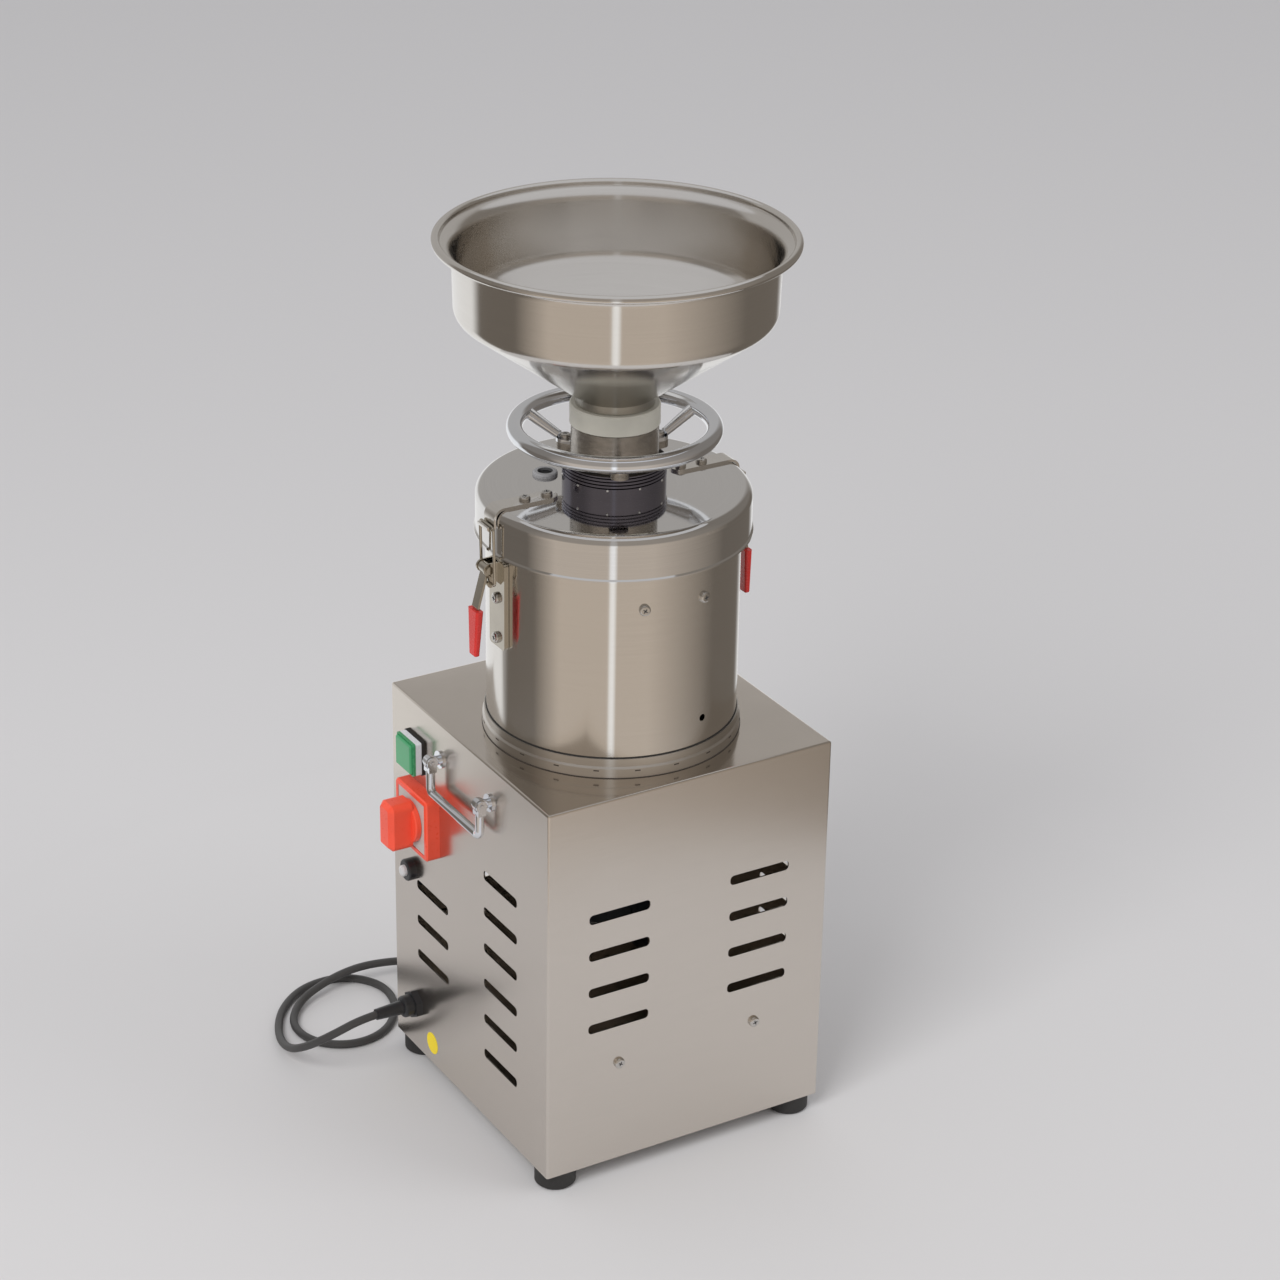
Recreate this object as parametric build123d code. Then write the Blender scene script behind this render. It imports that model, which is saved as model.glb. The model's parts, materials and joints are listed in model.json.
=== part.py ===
from build123d import *
import math
import os

# Nut butter grinder: a boxed vertical motor with a pair of grinding stones in a round steel barrel on
# top of it, a latched lid, a handwheel that sets the gap between the stones, and a bowl-shaped hopper.
# Millimetres, +Z up. The origin is the point of the table straight under the spindle. The vented face
# looks along -Y, the control panel along -X, and the discharge spout leaves along +Y.

# ---------------------------------------------------------------- clearances
fit_gap = 0.3            # between bodies that only pass or rest near each other
running_gap = 0.08       # radial, shaft in bearing and pin in eye
screw_gap = 0.25         # radial, screw shank in its hole

# ---------------------------------------------------------------- housing
sheet = 1.5
housing_width = 260.0    # X
housing_depth = 266.0    # Y
housing_height = 333.0
housing_edge_radius = 2.0
housing_offset_x = 4.6   # housing centre, measured from the spindle
housing_offset_y = 12.4
foot_height = 16.0
foot_radius = 17.0
foot_taper = 2.0
foot_inset = 17.5        # foot centre from the two housing faces
tray_thickness = 2.0
tray_flange_height = 104.0
tray_side_gap = 0.5

vent_length = 55.5
vent_height = 8.5
vent_corner = 3.5
vent_pitch = 33.5
vent_top_drop = 102.8    # top row of slots, below the housing top
vent_rows = 4
vent_column_offset = 65.0
panel_vent_front_rows = 6
panel_vent_front_y = -55.0
panel_vent_rear_rows = 3
panel_vent_rear_y = 63.1
panel_vent_rear_skip = 2  # rows left out above the short column

# ---------------------------------------------------------------- screws and bolts
screw_shank = 2.5
screw_length = 14.0
wall_screw_length = 8.0
screw_head_radius = 4.6
screw_head_height = 3.0
cover_screw_height = 91.0   # above the housing's lower edge
cover_screw_offset = 64.0
bolt_shank = 4.0
bolt_head_across = 13.0
bolt_head_height = 5.5
bolt_count = 4
bolt_edge = 9.5          # bolt axis from the inside of the barrel

# ---------------------------------------------------------------- motor
motor_radius = 72.0
motor_fin_height = 5.0
motor_fin_width = 3.0
motor_fins = 24
stator_bore = 42.0
stator_length = 125.0
air_gap = 0.6
motor_flange_edge = 8.0  # flange beyond the bolts' axes
motor_flange_thickness = 10.0
motor_cover_neck = 12.5
motor_bottom_cover_thickness = 12.0
shaft_radius = 10.0
bearing_radius = 21.0
bearing_width = 12.0
rotor_core_length = 100.0
fan_radius = 62.0
fan_hub_radius = 18.0
fan_width = 20.0
fan_blades = 8
fan_blade_thickness = 2.0
fan_drop = 8.0           # fan below the motor's bottom cover

# ---------------------------------------------------------------- barrel and mill base
base_ring_height = 16.0
base_ring_ledge = 3.0    # base ring beyond the barrel
base_ring_step = 1.5
base_ring_land = 24.0    # radial width of the base ring
barrel_radius = 101.0
barrel_height = 186.0
rim_width = 6.0
rim_height = 30.0
rim_rounding = 3.5
mill_floor = 8.0
mill_boss_radius = 30.0
mill_boss_height = 33.0
seal_radius = 16.0
spout_width = 44.0
spout_height = 30.0
spout_slope = 15.0       # degrees below the horizontal
spout_reach = 72.0       # beyond the barrel wall
spout_wall = 1.5
weep_radius = 3.0
weep_angle = -75.4
weep_height = 22.0       # above the barrel's lower edge
wall_screw_angles = (-106.4, -76.2)
wall_screw_height = 127.0

# ---------------------------------------------------------------- rotor and stones
stone_radius = 75.0
stone_thickness = 22.0
stone_eye = 27.0
stone_gap = 0.3
groove_count = 12
groove_width = 5.0
groove_depth = 2.0
groove_lean = 20.0       # degrees from radial
rotor_disc_thickness = 10.0
rotor_hub_height = 18.0
rotor_hub_radius = 22.0
rotor_lift = 45.0        # underside of the rotor hub above the barrel's lower edge
nut_across = 24.0
nut_height = 10.0
nut_cap_radius = 9.0
scraper_hub_height = 10.0
scraper_arm_width = 8.0
scraper_wall_gap = 7.5   # scraper arms to the barrel's inside
scraper_floor_gap = 3.0
carrier_disc_thickness = 10.0
carrier_boss_radius = 40.0
carrier_tube_bore = 26.5

# ---------------------------------------------------------------- lid and neck
lid_skirt_gap = 0.4      # skirt to the barrel's rim
lid_skirt = 36.6
lid_corner = 8.0
lid_hem = 1.2
gasket_thickness = 3.2
gasket_width = 9.0
neck_radius = 41.0
neck_collar_height = 10.0
neck_thread_height = 11.0
neck_thread_depth = 1.4
neck_thread_turns = 4
neck_spigot_radius = 38.0
neck_spigot_depth = 11.0
neck_bore = 34.6
plug_radius = 7.0
plug_ring = 3.0          # head of the plug beyond its hole
plug_pitch_radius = 56.5
plug_angle = 134.0

# ---------------------------------------------------------------- handwheel
hub_wall = 3.2
hub_drop = 5.0           # hub below the neck
hub_rise = 52.0          # hub top above the lid top
wheel_rise = 47.0        # centre of the rim above the lid top
wheel_radius = 78.0
wheel_section = 6.5
lug_rise = 22.0          # underside of the hub's lugs above the lid top
lug_thickness = 6.0
lug_reach = 50.0
lug_width = 15.0
spoke_root_radius = 3.6
spoke_end_radius = 5.0
spoke_tab_thickness = 3.0
spoke_count = 3
spoke_angle = 5.0
wheel_turns = 1.5
thread_pitch = 2.0

# ---------------------------------------------------------------- collar and hopper
collar_radius = 35.5
collar_height = 16.0
collar_lip = 2.0
hopper_sheet = 1.2
hopper_wall_radius = 124.9
hopper_wall_lean = 1.4
hopper_wall_height = 51.0
hopper_cone_height = 67.6
hopper_corner = 7.0
hopper_flare_rise = 6.4
hopper_bead = 3.2
hopper_rim_radius = 141.2
ferrule_radius = 31.0
ferrule_height = 6.2
spigot_depth = 26.0
spigot_wall = 1.5

# ---------------------------------------------------------------- latches
bracket_width = 24.0
bracket_thickness = 3.2
bracket_height = 74.0
bracket_drop = 44.0      # bracket top below the lid top
bracket_screw_rises = (8.0, 42.0)
latch_pivot_stand = 13.5  # lever pivot out from the barrel
latch_pivot_drop = 48.0  # lever pivot below the lid top
latch_pin_radius = 2.0
latch_pin_head = 1.2
latch_pin_head_depth = 1.5
ear_thickness = 1.5
ear_radius = 5.0
ear_gap = 10.0           # between the bracket's two ears
ear_gusset = 11.0        # how far the ear's root reaches below its eye
lever_throw = 13.0       # lever pivot to bail pivot
throw_lean = 11.0        # degrees that the throw points inward when closed, past the dead centre
lever_boss = 2.2         # wall of metal round the lever's two bores
lever_crank = 4.0        # thickness of the web between the bores
lever_lean = 15.0        # degrees from the vertical, pivot to knee
lever_knee = 33.0        # pivot to knee
lever_thickness = 2.0
tongue_lean = 2.2        # degrees from the vertical, below the knee
tongue_length = 33.0
tongue_width = 6.5
grip_length = 39.0
grip_top_width = 16.0
grip_top_thickness = 6.4
grip_end_width = 10.0
grip_end_thickness = 4.6
bail_wire = 1.2
bail_half_width = 10.7
bail_end_depth = 3.5     # how far each end of the bail reaches into the lever
strap_width = 16.0
strap_thickness = 2.0
strap_length = 57.0      # from the lid's edge inward
strap_screw_steps = (8.6, 28.0)  # from the strap's inner end
strap_hook_stand = 7.3   # centre of the hook's lip out from the lid's skirt
strap_hook_drop = 13.0   # seat of the hook below the lid top
strap_lip = 1.5

# ---------------------------------------------------------------- control panel
switch_y = 76.5
switch_drop = 99.5
switch_size = 55.5
switch_depth = 12.0
switch_corner = 4.0
switch_rim = 4.5
switch_recess = 2.0
label_thickness = 1.5
knob_base_radius = 18.5
knob_base_depth = 5.0
knob_wing_length = 42.0
knob_wing_width = 22.0
knob_wing_depth = 20.0
knob_wing_corner = 5.5
knob_wing_bevel = 4.0
spindle_radius = 4.0
switch_body_size = 46.0
switch_body_depth = 48.0

button_y = 89.2
button_drop = 45.0
button_size = 26.5
button_stand = 12.4      # cap face from the panel
button_travel = 3.0
bezel_size = 29.5
bezel_depth = 7.5
button_gasket = 2.5
button_barrel = 11.0
button_barrel_depth = 36.0

breaker_y = 99.7
breaker_drop = 160.0
breaker_nut_radius = 9.5
breaker_nut_depth = 7.0
breaker_button_radius = 5.0
breaker_button_stand = 11.0
breaker_travel = 2.0
breaker_neck = 6.0
breaker_body_size = 26.0
breaker_body_depth = 30.0

handle_y = 4.2
handle_drop = 32.5
handle_span = 84.0
handle_reach = 9.0
handle_rod = 4.0
handle_foot_radius = 7.5
handle_foot_depth = 1.6
handle_leg = 28.0
handle_eye_radius = 5.5
handle_eye_width = 4.4
handle_pin = 2.0
handle_clevis_wall = 2.5

# ---------------------------------------------------------------- cable gland, cord and plug
gland_y = 94.6
gland_rise = 44.0        # above the housing's lower edge
gland_thread = 8.0
gland_hex = 22.0
gland_hex_depth = 6.0
gland_dome_radius = 9.5
gland_dome_depth = 9.0
relief_length = 24.0
relief_radius = 6.2
relief_tip_radius = 4.8
gland_nut_depth = 5.0
cord_diameter = 7.0
cord_bore_gap = 0.1
coil_centre = (4.0, 206.0)
coil_mean_radius = 38.5
coil_layers = 2
plug_body_radius = 18.0
plug_body_length = 34.0
plug_tail_length = 22.0
plug_tail_radius = 6.0
plug_face_x = 132.0
plug_y = 244.0
pin_radius = 2.4
pin_length = 19.0
pin_spacing = 19.0

# The free cord, as the points that its path turns at: out of the gland and down to the table, one and a
# half times round in a loose loop beside the rear corner, over itself, and on behind the housing.
cord_floor = cord_diameter / 2 + 0.1
cord_cross = cord_floor + 2 * cord_diameter
lead_height = cord_floor + cord_diameter
cord_route = [
    (-176.5, 107.0, 60.0),
    (-203.0, 113.0, 48.0),
    (-219.0, 134.0, 29.0),
    (-222.0, 164.0, 12.0),
    (-214.0, 201.0, cord_floor),
    (-195.0, 236.0, cord_floor),
    (-162.0, 262.0, cord_floor),
    (-121.0, 262.0, cord_floor),
    (-96.0, 231.0, cord_floor),
    (-102.0, 191.0, cord_floor),
    (-129.0, 159.0, cord_floor),
    (-163.0, 153.0, cord_floor),
    (-192.0, 173.0, cord_floor),
    (-198.0, 208.0, cord_floor),
    (-177.0, 237.0, cord_floor + 3.0),
    (-143.0, 248.0, cord_floor + 9.0),
    (-115.0, 248.0, cord_cross),
    (-88.0, 244.0, cord_cross),
    (-56.0, 247.0, cord_floor + 5.0),
    (-28.0, 249.5, cord_floor + 2.0),
]

# ---------------------------------------------------------------- levels and places worked out from the sizes
housing_bottom = foot_height
housing_top = housing_bottom + housing_height
panel_x = housing_offset_x - housing_width / 2
right_x = housing_offset_x + housing_width / 2
front_y = housing_offset_y - housing_depth / 2
back_y = housing_offset_y + housing_depth / 2

barrel_bottom = housing_top + base_ring_height
barrel_top = barrel_bottom + barrel_height
barrel_bore = barrel_radius - sheet
bolt_circle = barrel_bore - bolt_edge
base_ring_radius = barrel_radius + base_ring_ledge
base_ring_bore = base_ring_radius - base_ring_land
motor_flange_radius = bolt_circle + motor_flange_edge
scraper_reach = barrel_bore - scraper_wall_gap
lid_inside = barrel_top + fit_gap + gasket_thickness
lid_top = lid_inside + sheet
rim_radius = barrel_radius + rim_width
lid_radius = rim_radius + lid_skirt_gap + sheet

motor_flange_top = housing_top - sheet
stator_top = motor_flange_top - motor_flange_thickness - motor_cover_neck
stator_bottom = stator_top - stator_length
motor_bottom = stator_bottom - motor_bottom_cover_thickness
bearing_lift = 1.0

rotor_hub_bottom = barrel_bottom + rotor_lift
scraper_bottom = rotor_hub_bottom - scraper_hub_height
disc_bottom = rotor_hub_bottom + rotor_hub_height
disc_top = disc_bottom + rotor_disc_thickness
lower_stone_top = disc_top + stone_thickness
upper_stone_bottom = lower_stone_top + stone_gap
carrier_bottom = upper_stone_bottom + stone_thickness
carrier_disc_top = carrier_bottom + carrier_disc_thickness

hub_bore = neck_bore - running_gap - hub_wall
hub_radius = neck_bore - running_gap
tube_radius = hub_bore - running_gap
hub_top = lid_top + hub_rise
neck_spigot_bottom = lid_top - neck_spigot_depth
hub_bottom = neck_spigot_bottom - hub_drop
carrier_boss_top = hub_bottom - fit_gap
wheel_z = lid_top + wheel_rise
lug_z = lid_top + lug_rise
adjust_travel = wheel_turns * thread_pitch
collar_bottom = hub_top + fit_gap
collar_top = collar_bottom + collar_height
ferrule_bottom = collar_top + fit_gap
cone_bottom = ferrule_bottom + ferrule_height
spigot_radius = carrier_tube_bore - fit_gap
throat_radius = spigot_radius - spigot_wall

bracket_back = barrel_radius + fit_gap
bracket_face = bracket_back + bracket_thickness
latch_pivot_x = barrel_radius + latch_pivot_stand
latch_pivot_z = lid_top - latch_pivot_drop
bracket_top = lid_top - bracket_drop
bracket_bottom = bracket_top - bracket_height
strap_back = lid_radius + fit_gap
strap_inner_radius = lid_radius - strap_length
strap_screw_radii = [strap_inner_radius + step for step in strap_screw_steps]
hook_radius = lid_radius + strap_hook_stand
hook_seat = lid_top - strap_hook_drop

handle_z = housing_top - handle_drop
handle_pivot_x = panel_x - handle_reach
gland_z = housing_bottom + gland_rise
relief_tip_x = panel_x - gland_hex_depth - gland_dome_depth - relief_length


# ---------------------------------------------------------------- shape helpers
def block(x0, x1, y0, y1, z0, z1):
    """A box between two corners."""
    centre = Pos((x0 + x1) / 2, (y0 + y1) / 2, (z0 + z1) / 2)
    return centre * Box(abs(x1 - x0), abs(y1 - y0), abs(z1 - z0))


def rod(radius, z0, z1, x=0.0, y=0.0):
    """A vertical cylinder."""
    return Pos(x, y, (z0 + z1) / 2) * Cylinder(radius, z1 - z0)


def rod_x(radius, x0, x1, y, z):
    """A cylinder along X."""
    return Pos((x0 + x1) / 2, y, z) * Rot(0, 90, 0) * Cylinder(radius, abs(x1 - x0))


def rod_y(radius, x, y0, y1, z):
    """A cylinder along Y."""
    return Pos(x, (y0 + y1) / 2, z) * Rot(90, 0, 0) * Cylinder(radius, abs(y1 - y0))


def ring(outer, inner, z0, z1):
    """A flat ring about the spindle."""
    return rod(outer, z0, z1) - rod(inner, z0 - 1, z1 + 1)


def turned(*profile):
    """A solid of revolution about the spindle, from (radius, height) corners."""
    outline = Polyline(*[(r, 0, z) for r, z in profile], close=True)
    return revolve(make_face(outline), Axis.Z)


def hexagon(across, z0, z1):
    """A hexagonal prism about the spindle, across its flats."""
    flat = RegularPolygon(across / 2, 6, major_radius=False)
    return Pos(0, 0, z0) * extrude(flat, z1 - z0)


def spun(shape, angle):
    """The shape turned about the spindle."""
    return Rot(0, 0, angle) * shape


def facing_left(shape):
    """A shape built along +Z, laid down to look out of the control panel."""
    return Rot(0, -90, 0) * shape


def on_panel(shape, y, drop):
    """A shape built along +Z, placed on the control panel with +Z pointing out of it."""
    return Pos(panel_x, housing_offset_y + y, housing_top - drop) * facing_left(shape)


def pan_screw(length=screw_length):
    """A pan-head screw whose head seats at z = 0 and whose shank points down."""
    head = rod(screw_head_radius, 0, screw_head_height)
    head = fillet(head.edges().group_by(Axis.Z)[-1], screw_head_height * 0.6)
    return head + rod(screw_shank, -length, 0)


def together(solids):
    """Separate solids kept side by side in one node."""
    return Compound(children=list(solids))


# ---------------------------------------------------------------- housing
def slot_along_y(y, z, x):
    """A vent slot through a wall that faces X."""
    wall = Plane(origin=(x, y, z), x_dir=(0, 1, 0), z_dir=(1, 0, 0))
    return extrude(wall * RectangleRounded(vent_length, vent_height, vent_corner), 3 * sheet, both=True)


def slot_along_x(x, z, y):
    """A vent slot through a wall that faces Y."""
    wall = Plane(origin=(x, y, z), x_dir=(1, 0, 0), z_dir=(0, 1, 0))
    return extrude(wall * RectangleRounded(vent_length, vent_height, vent_corner), 3 * sheet, both=True)


def vent_height_of(row):
    return housing_top - vent_top_drop - row * vent_pitch


def vents():
    slots = []
    for row in range(vent_rows):
        z = vent_height_of(row)
        for side in (-1, 1):
            x = housing_offset_x + side * vent_column_offset
            y = housing_offset_y + side * vent_column_offset
            slots.append(slot_along_x(x, z, front_y))
            slots.append(slot_along_x(x, z, back_y))
            slots.append(slot_along_y(y, z, right_x))
    for row in range(panel_vent_front_rows):
        slots.append(slot_along_y(housing_offset_y + panel_vent_front_y, vent_height_of(row), panel_x))
    for row in range(panel_vent_rear_rows):
        z = vent_height_of(row + panel_vent_rear_skip)
        slots.append(slot_along_y(housing_offset_y + panel_vent_rear_y, z, panel_x))
    return slots


def panel_hole(radius, y, z):
    return rod_x(radius, panel_x - 2 * sheet, panel_x + 2 * sheet, housing_offset_y + y, z)


def cover_screw_places():
    """Where the cover's side screws sit: x, y, and the way the head looks."""
    for side in (-1, 1):
        x = housing_offset_x + side * cover_screw_offset
        yield x, front_y, 90
        yield x, back_y, -90


def bolt_places():
    for k in range(bolt_count):
        angle = math.radians(45 + k * 360 / bolt_count)
        yield bolt_circle * math.cos(angle), bolt_circle * math.sin(angle)


def bolt_holes(z0, z1):
    return [rod(bolt_shank + screw_gap, z0, z1, x, y) for x, y in bolt_places()]


def housing_cover():
    outer = block(panel_x, right_x, front_y, back_y, housing_bottom, housing_top)
    soft = outer.edges().filter_by(Axis.Z) + outer.edges().group_by(Axis.Z)[-1]
    outer = fillet(soft, housing_edge_radius)
    inner = block(panel_x + sheet, right_x - sheet, front_y + sheet, back_y - sheet,
                  housing_bottom - 1, housing_top - sheet)
    cover = outer - inner
    cover = cover - vents()
    cover = cover - rod(mill_boss_radius, housing_top - 2 * sheet, housing_top + sheet)
    cover = cover - bolt_holes(housing_top - 2 * sheet, housing_top + sheet)
    holes = [
        panel_hole(spindle_radius + 4, switch_y, housing_top - switch_drop),
        panel_hole(button_barrel + screw_gap, button_y, housing_top - button_drop),
        panel_hole(breaker_neck + screw_gap, breaker_y, housing_top - breaker_drop),
        panel_hole(gland_thread + screw_gap, gland_y, gland_z),
    ]
    for side in (-1, 1):
        holes.append(panel_hole(handle_rod + screw_gap, handle_y + side * handle_span / 2, handle_z))
    z = housing_bottom + cover_screw_height
    for x, y, _ in cover_screw_places():
        holes.append(rod_y(screw_shank + screw_gap, x, y - 2 * sheet, y + 2 * sheet, z))
    return cover - holes


def foot_places():
    for sx in (-1, 1):
        for sy in (-1, 1):
            yield (housing_offset_x + sx * (housing_width / 2 - foot_inset),
                   housing_offset_y + sy * (housing_depth / 2 - foot_inset))


def base_tray():
    """The floor of the housing, with an upstanding flange behind the front and the back face."""
    x0 = panel_x + sheet + tray_side_gap
    x1 = right_x - sheet - tray_side_gap
    y0, y1 = front_y + sheet, back_y - sheet
    top = housing_bottom + tray_flange_height
    tray = block(x0, x1, y0, y1, housing_bottom, housing_bottom + tray_thickness)
    tray += block(x0, x1, y0, y0 + tray_thickness, housing_bottom, top)
    tray += block(x0, x1, y1 - tray_thickness, y1, housing_bottom, top)
    for x, y in foot_places():
        tray -= rod(screw_shank + screw_gap, housing_bottom - 1, housing_bottom + 2 * tray_thickness, x, y)
    z = housing_bottom + cover_screw_height
    for x, y, _ in cover_screw_places():
        tray -= rod_y(screw_shank + screw_gap, x, y - 3 * tray_thickness, y + 3 * tray_thickness, z)
    return tray


def foot_seat():
    """Height of the screw's seat inside a foot."""
    return foot_height * 0.45


def rubber_feet():
    feet = []
    for x, y in foot_places():
        foot = turned((0, 0), (foot_radius - foot_taper, 0), (foot_radius, foot_taper),
                      (foot_radius, foot_height), (0, foot_height))
        foot -= rod(screw_head_radius + 1, -1, foot_seat())
        foot -= rod(screw_shank + screw_gap, -1, foot_height + 1)
        feet.append(Pos(x, y, 0) * foot)
    return together(feet)


def housing_screws():
    """The screws through the feet, and those through the cover into the tray's flanges."""
    screws = [Pos(x, y, foot_seat()) * Rot(180, 0, 0) * pan_screw() for x, y in foot_places()]
    z = housing_bottom + cover_screw_height
    for x, y, tilt in cover_screw_places():
        screws.append(Pos(x, y, z) * Rot(tilt, 0, 0) * pan_screw())
    return screws


# ---------------------------------------------------------------- motor
def motor_stator():
    stator = ring(motor_radius, stator_bore, stator_bottom, stator_top)
    for k in range(motor_fins):
        fin = block(motor_radius - 1, motor_radius + motor_fin_height, -motor_fin_width / 2,
                    motor_fin_width / 2, stator_bottom + motor_fin_height, stator_top - motor_fin_height)
        stator += spun(fin, k * 360 / motor_fins)
    return stator


def bearing_seat(z0, z1):
    return rod(bearing_radius, z0, z1)


def motor_end_covers():
    top = turned((shaft_radius + 2, stator_top), (motor_radius, stator_top),
                 (motor_radius, motor_flange_top - motor_flange_thickness),
                 (motor_flange_radius, motor_flange_top - motor_flange_thickness),
                 (motor_flange_radius, motor_flange_top), (shaft_radius + 2, motor_flange_top))
    top -= bolt_holes(stator_top - 1, motor_flange_top + 1)
    top -= bearing_seat(stator_top + bearing_lift, stator_top + bearing_lift + bearing_width)
    bottom = turned((shaft_radius + 2, motor_bottom), (motor_radius - 2, motor_bottom),
                    (motor_radius, motor_bottom + 2), (motor_radius, stator_bottom),
                    (shaft_radius + 2, stator_bottom))
    bottom -= bearing_seat(stator_bottom - bearing_width + bearing_lift, stator_bottom + 1)
    return together([top, bottom])


def shaft_bearings():
    races = []
    for z in (stator_top + bearing_lift, stator_bottom - bearing_width + bearing_lift):
        races.append(ring(bearing_radius, shaft_radius + running_gap, z, z + bearing_width))
    return together(races)


def rotor_core_bottom():
    return (stator_top + stator_bottom - rotor_core_length) / 2


def motor_rotor():
    z0 = rotor_core_bottom()
    core = rod(stator_bore - air_gap, z0, z0 + rotor_core_length)
    return core - rod(shaft_radius, z0 - 1, z0 + rotor_core_length + 1)


def fan_bottom():
    return motor_bottom - fan_drop - fan_width


def motor_shaft():
    return rod(shaft_radius, fan_bottom() - 2, disc_top + nut_height)


def motor_fan():
    z0 = fan_bottom()
    fan = rod(fan_hub_radius, z0, z0 + fan_width) + rod(fan_radius, z0 + fan_width - 2, z0 + fan_width)
    for k in range(fan_blades):
        blade = block(fan_hub_radius - 1, fan_radius, -fan_blade_thickness / 2, fan_blade_thickness / 2,
                      z0, z0 + fan_width - 1)
        fan += spun(blade, k * 360 / fan_blades)
    return fan - rod(shaft_radius, z0 - 1, z0 + fan_width + 1)


# ---------------------------------------------------------------- mill base and barrel
def mill_bolts():
    """Four bolts from the mill floor down through the base ring and the housing into the motor flange."""
    bolts = []
    seat = barrel_bottom + mill_floor
    foot = motor_flange_top - motor_flange_thickness
    for x, y in bolt_places():
        head = Pos(x, y, 0) * hexagon(bolt_head_across, seat, seat + bolt_head_height)
        bolts.append(head + rod(bolt_shank, foot, seat, x, y))
    return together(bolts)


def barrel_base_ring():
    mid = housing_top + base_ring_height / 2
    body = turned((base_ring_bore, housing_top), (base_ring_radius, housing_top),
                  (base_ring_radius, mid), (base_ring_radius - base_ring_step, mid + base_ring_step),
                  (base_ring_radius - base_ring_step, barrel_bottom), (base_ring_bore, barrel_bottom))
    return body - bolt_holes(housing_top - 1, barrel_bottom + 1)


def mill_base():
    """Floor of the mill with the raised boss that keeps the butter away from the shaft."""
    z0 = barrel_bottom
    outer = barrel_bore - fit_gap
    base = turned((seal_radius, z0), (outer, z0), (outer, z0 + mill_floor),
                  (mill_boss_radius + 4, z0 + mill_floor), (mill_boss_radius, z0 + mill_floor + 4),
                  (mill_boss_radius, z0 + mill_boss_height - 2),
                  (mill_boss_radius - 2, z0 + mill_boss_height), (seal_radius, z0 + mill_boss_height))
    return base - bolt_holes(z0 - 1, z0 + mill_floor + 1)


def shaft_seal():
    z0 = barrel_bottom + mill_boss_height - 12
    return ring(seal_radius, shaft_radius + running_gap, z0, z0 + 10)


def spout_box(width, height, start):
    """A bar of the spout's section, sloping down along +Y from the barrel wall."""
    bar = block(-width / 2, width / 2, start, spout_reach, -height / 2, height / 2)
    z = barrel_bottom + mill_floor + spout_height / 2 + spout_wall
    return Pos(0, barrel_radius, z) * Rot(-spout_slope, 0, 0) * bar


def discharge_spout():
    duct = spout_box(spout_width, spout_height, -20) - spout_box(
        spout_width - 2 * spout_wall, spout_height - 2 * spout_wall, -21)
    duct -= rod(barrel_radius, barrel_bottom - 1, barrel_top)
    tip_y = barrel_radius + spout_reach - 12
    duct -= block(-spout_width, spout_width, tip_y, tip_y + 2 * spout_reach, 0, lid_top)
    return duct


def wall_screw(angle, z, radius):
    """A pan-head screw through a wall, its head seated on the given radius."""
    return spun(Pos(radius, 0, z) * Rot(0, 90, 0) * pan_screw(wall_screw_length), angle)


def barrel():
    wall = ring(barrel_radius, barrel_bore, barrel_bottom, barrel_top)
    rim = ring(rim_radius, barrel_radius - sheet / 2, barrel_top - rim_height, barrel_top)
    top = rim.edges().filter_by(GeomType.CIRCLE).group_by(Axis.Z)[-1]
    wall += fillet(top.sort_by(SortBy.RADIUS)[-1:], rim_rounding)
    wall -= spout_box(spout_width - 2 * spout_wall, spout_height - 2 * spout_wall, -20)
    for angle in wall_screw_angles:
        hole = rod_x(screw_shank + screw_gap, barrel_bore - 5, barrel_radius + 5, 0,
                     barrel_bottom + wall_screw_height)
        wall -= spun(hole, angle)
    weep = rod_x(weep_radius, barrel_bore - 5, barrel_radius + 5, 0, barrel_bottom + weep_height)
    wall -= spun(weep, weep_angle)
    for side in (0, 180):
        for z in bracket_screw_heights():
            hole = rod_x(screw_shank + screw_gap, barrel_bore - 5, barrel_radius + 5, 0, z)
            wall -= spun(hole, side)
    return wall


def barrel_screws():
    """Two screws in the front of the barrel and two that hold each latch bracket."""
    z = barrel_bottom + wall_screw_height
    screws = [wall_screw(angle, z, barrel_radius) for angle in wall_screw_angles]
    for side in (0, 180):
        for height in bracket_screw_heights():
            screws.append(wall_screw(side, height, bracket_face))
    return screws


def pan_screws():
    """Every pan-head screw of the body: feet, cover, barrel and latch brackets."""
    return together(housing_screws() + barrel_screws())


# ---------------------------------------------------------------- latches
def bracket_screw_heights():
    return [bracket_bottom + rise for rise in bracket_screw_rises]


def ear(y):
    """One ear of the bracket: a gusset out from the plate, round at the pin."""
    x0 = bracket_back + bracket_thickness / 2
    top, low = latch_pivot_z + ear_radius, latch_pivot_z - ear_radius
    outline = Polyline((x0, y, top), (latch_pivot_x, y, top), (latch_pivot_x, y, low),
                       (x0, y, low - ear_gusset), close=True)
    gusset = extrude(make_face(outline), ear_thickness, dir=(0, 1, 0))
    return gusset + rod_y(ear_radius, latch_pivot_x, y, y + ear_thickness, latch_pivot_z)


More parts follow.
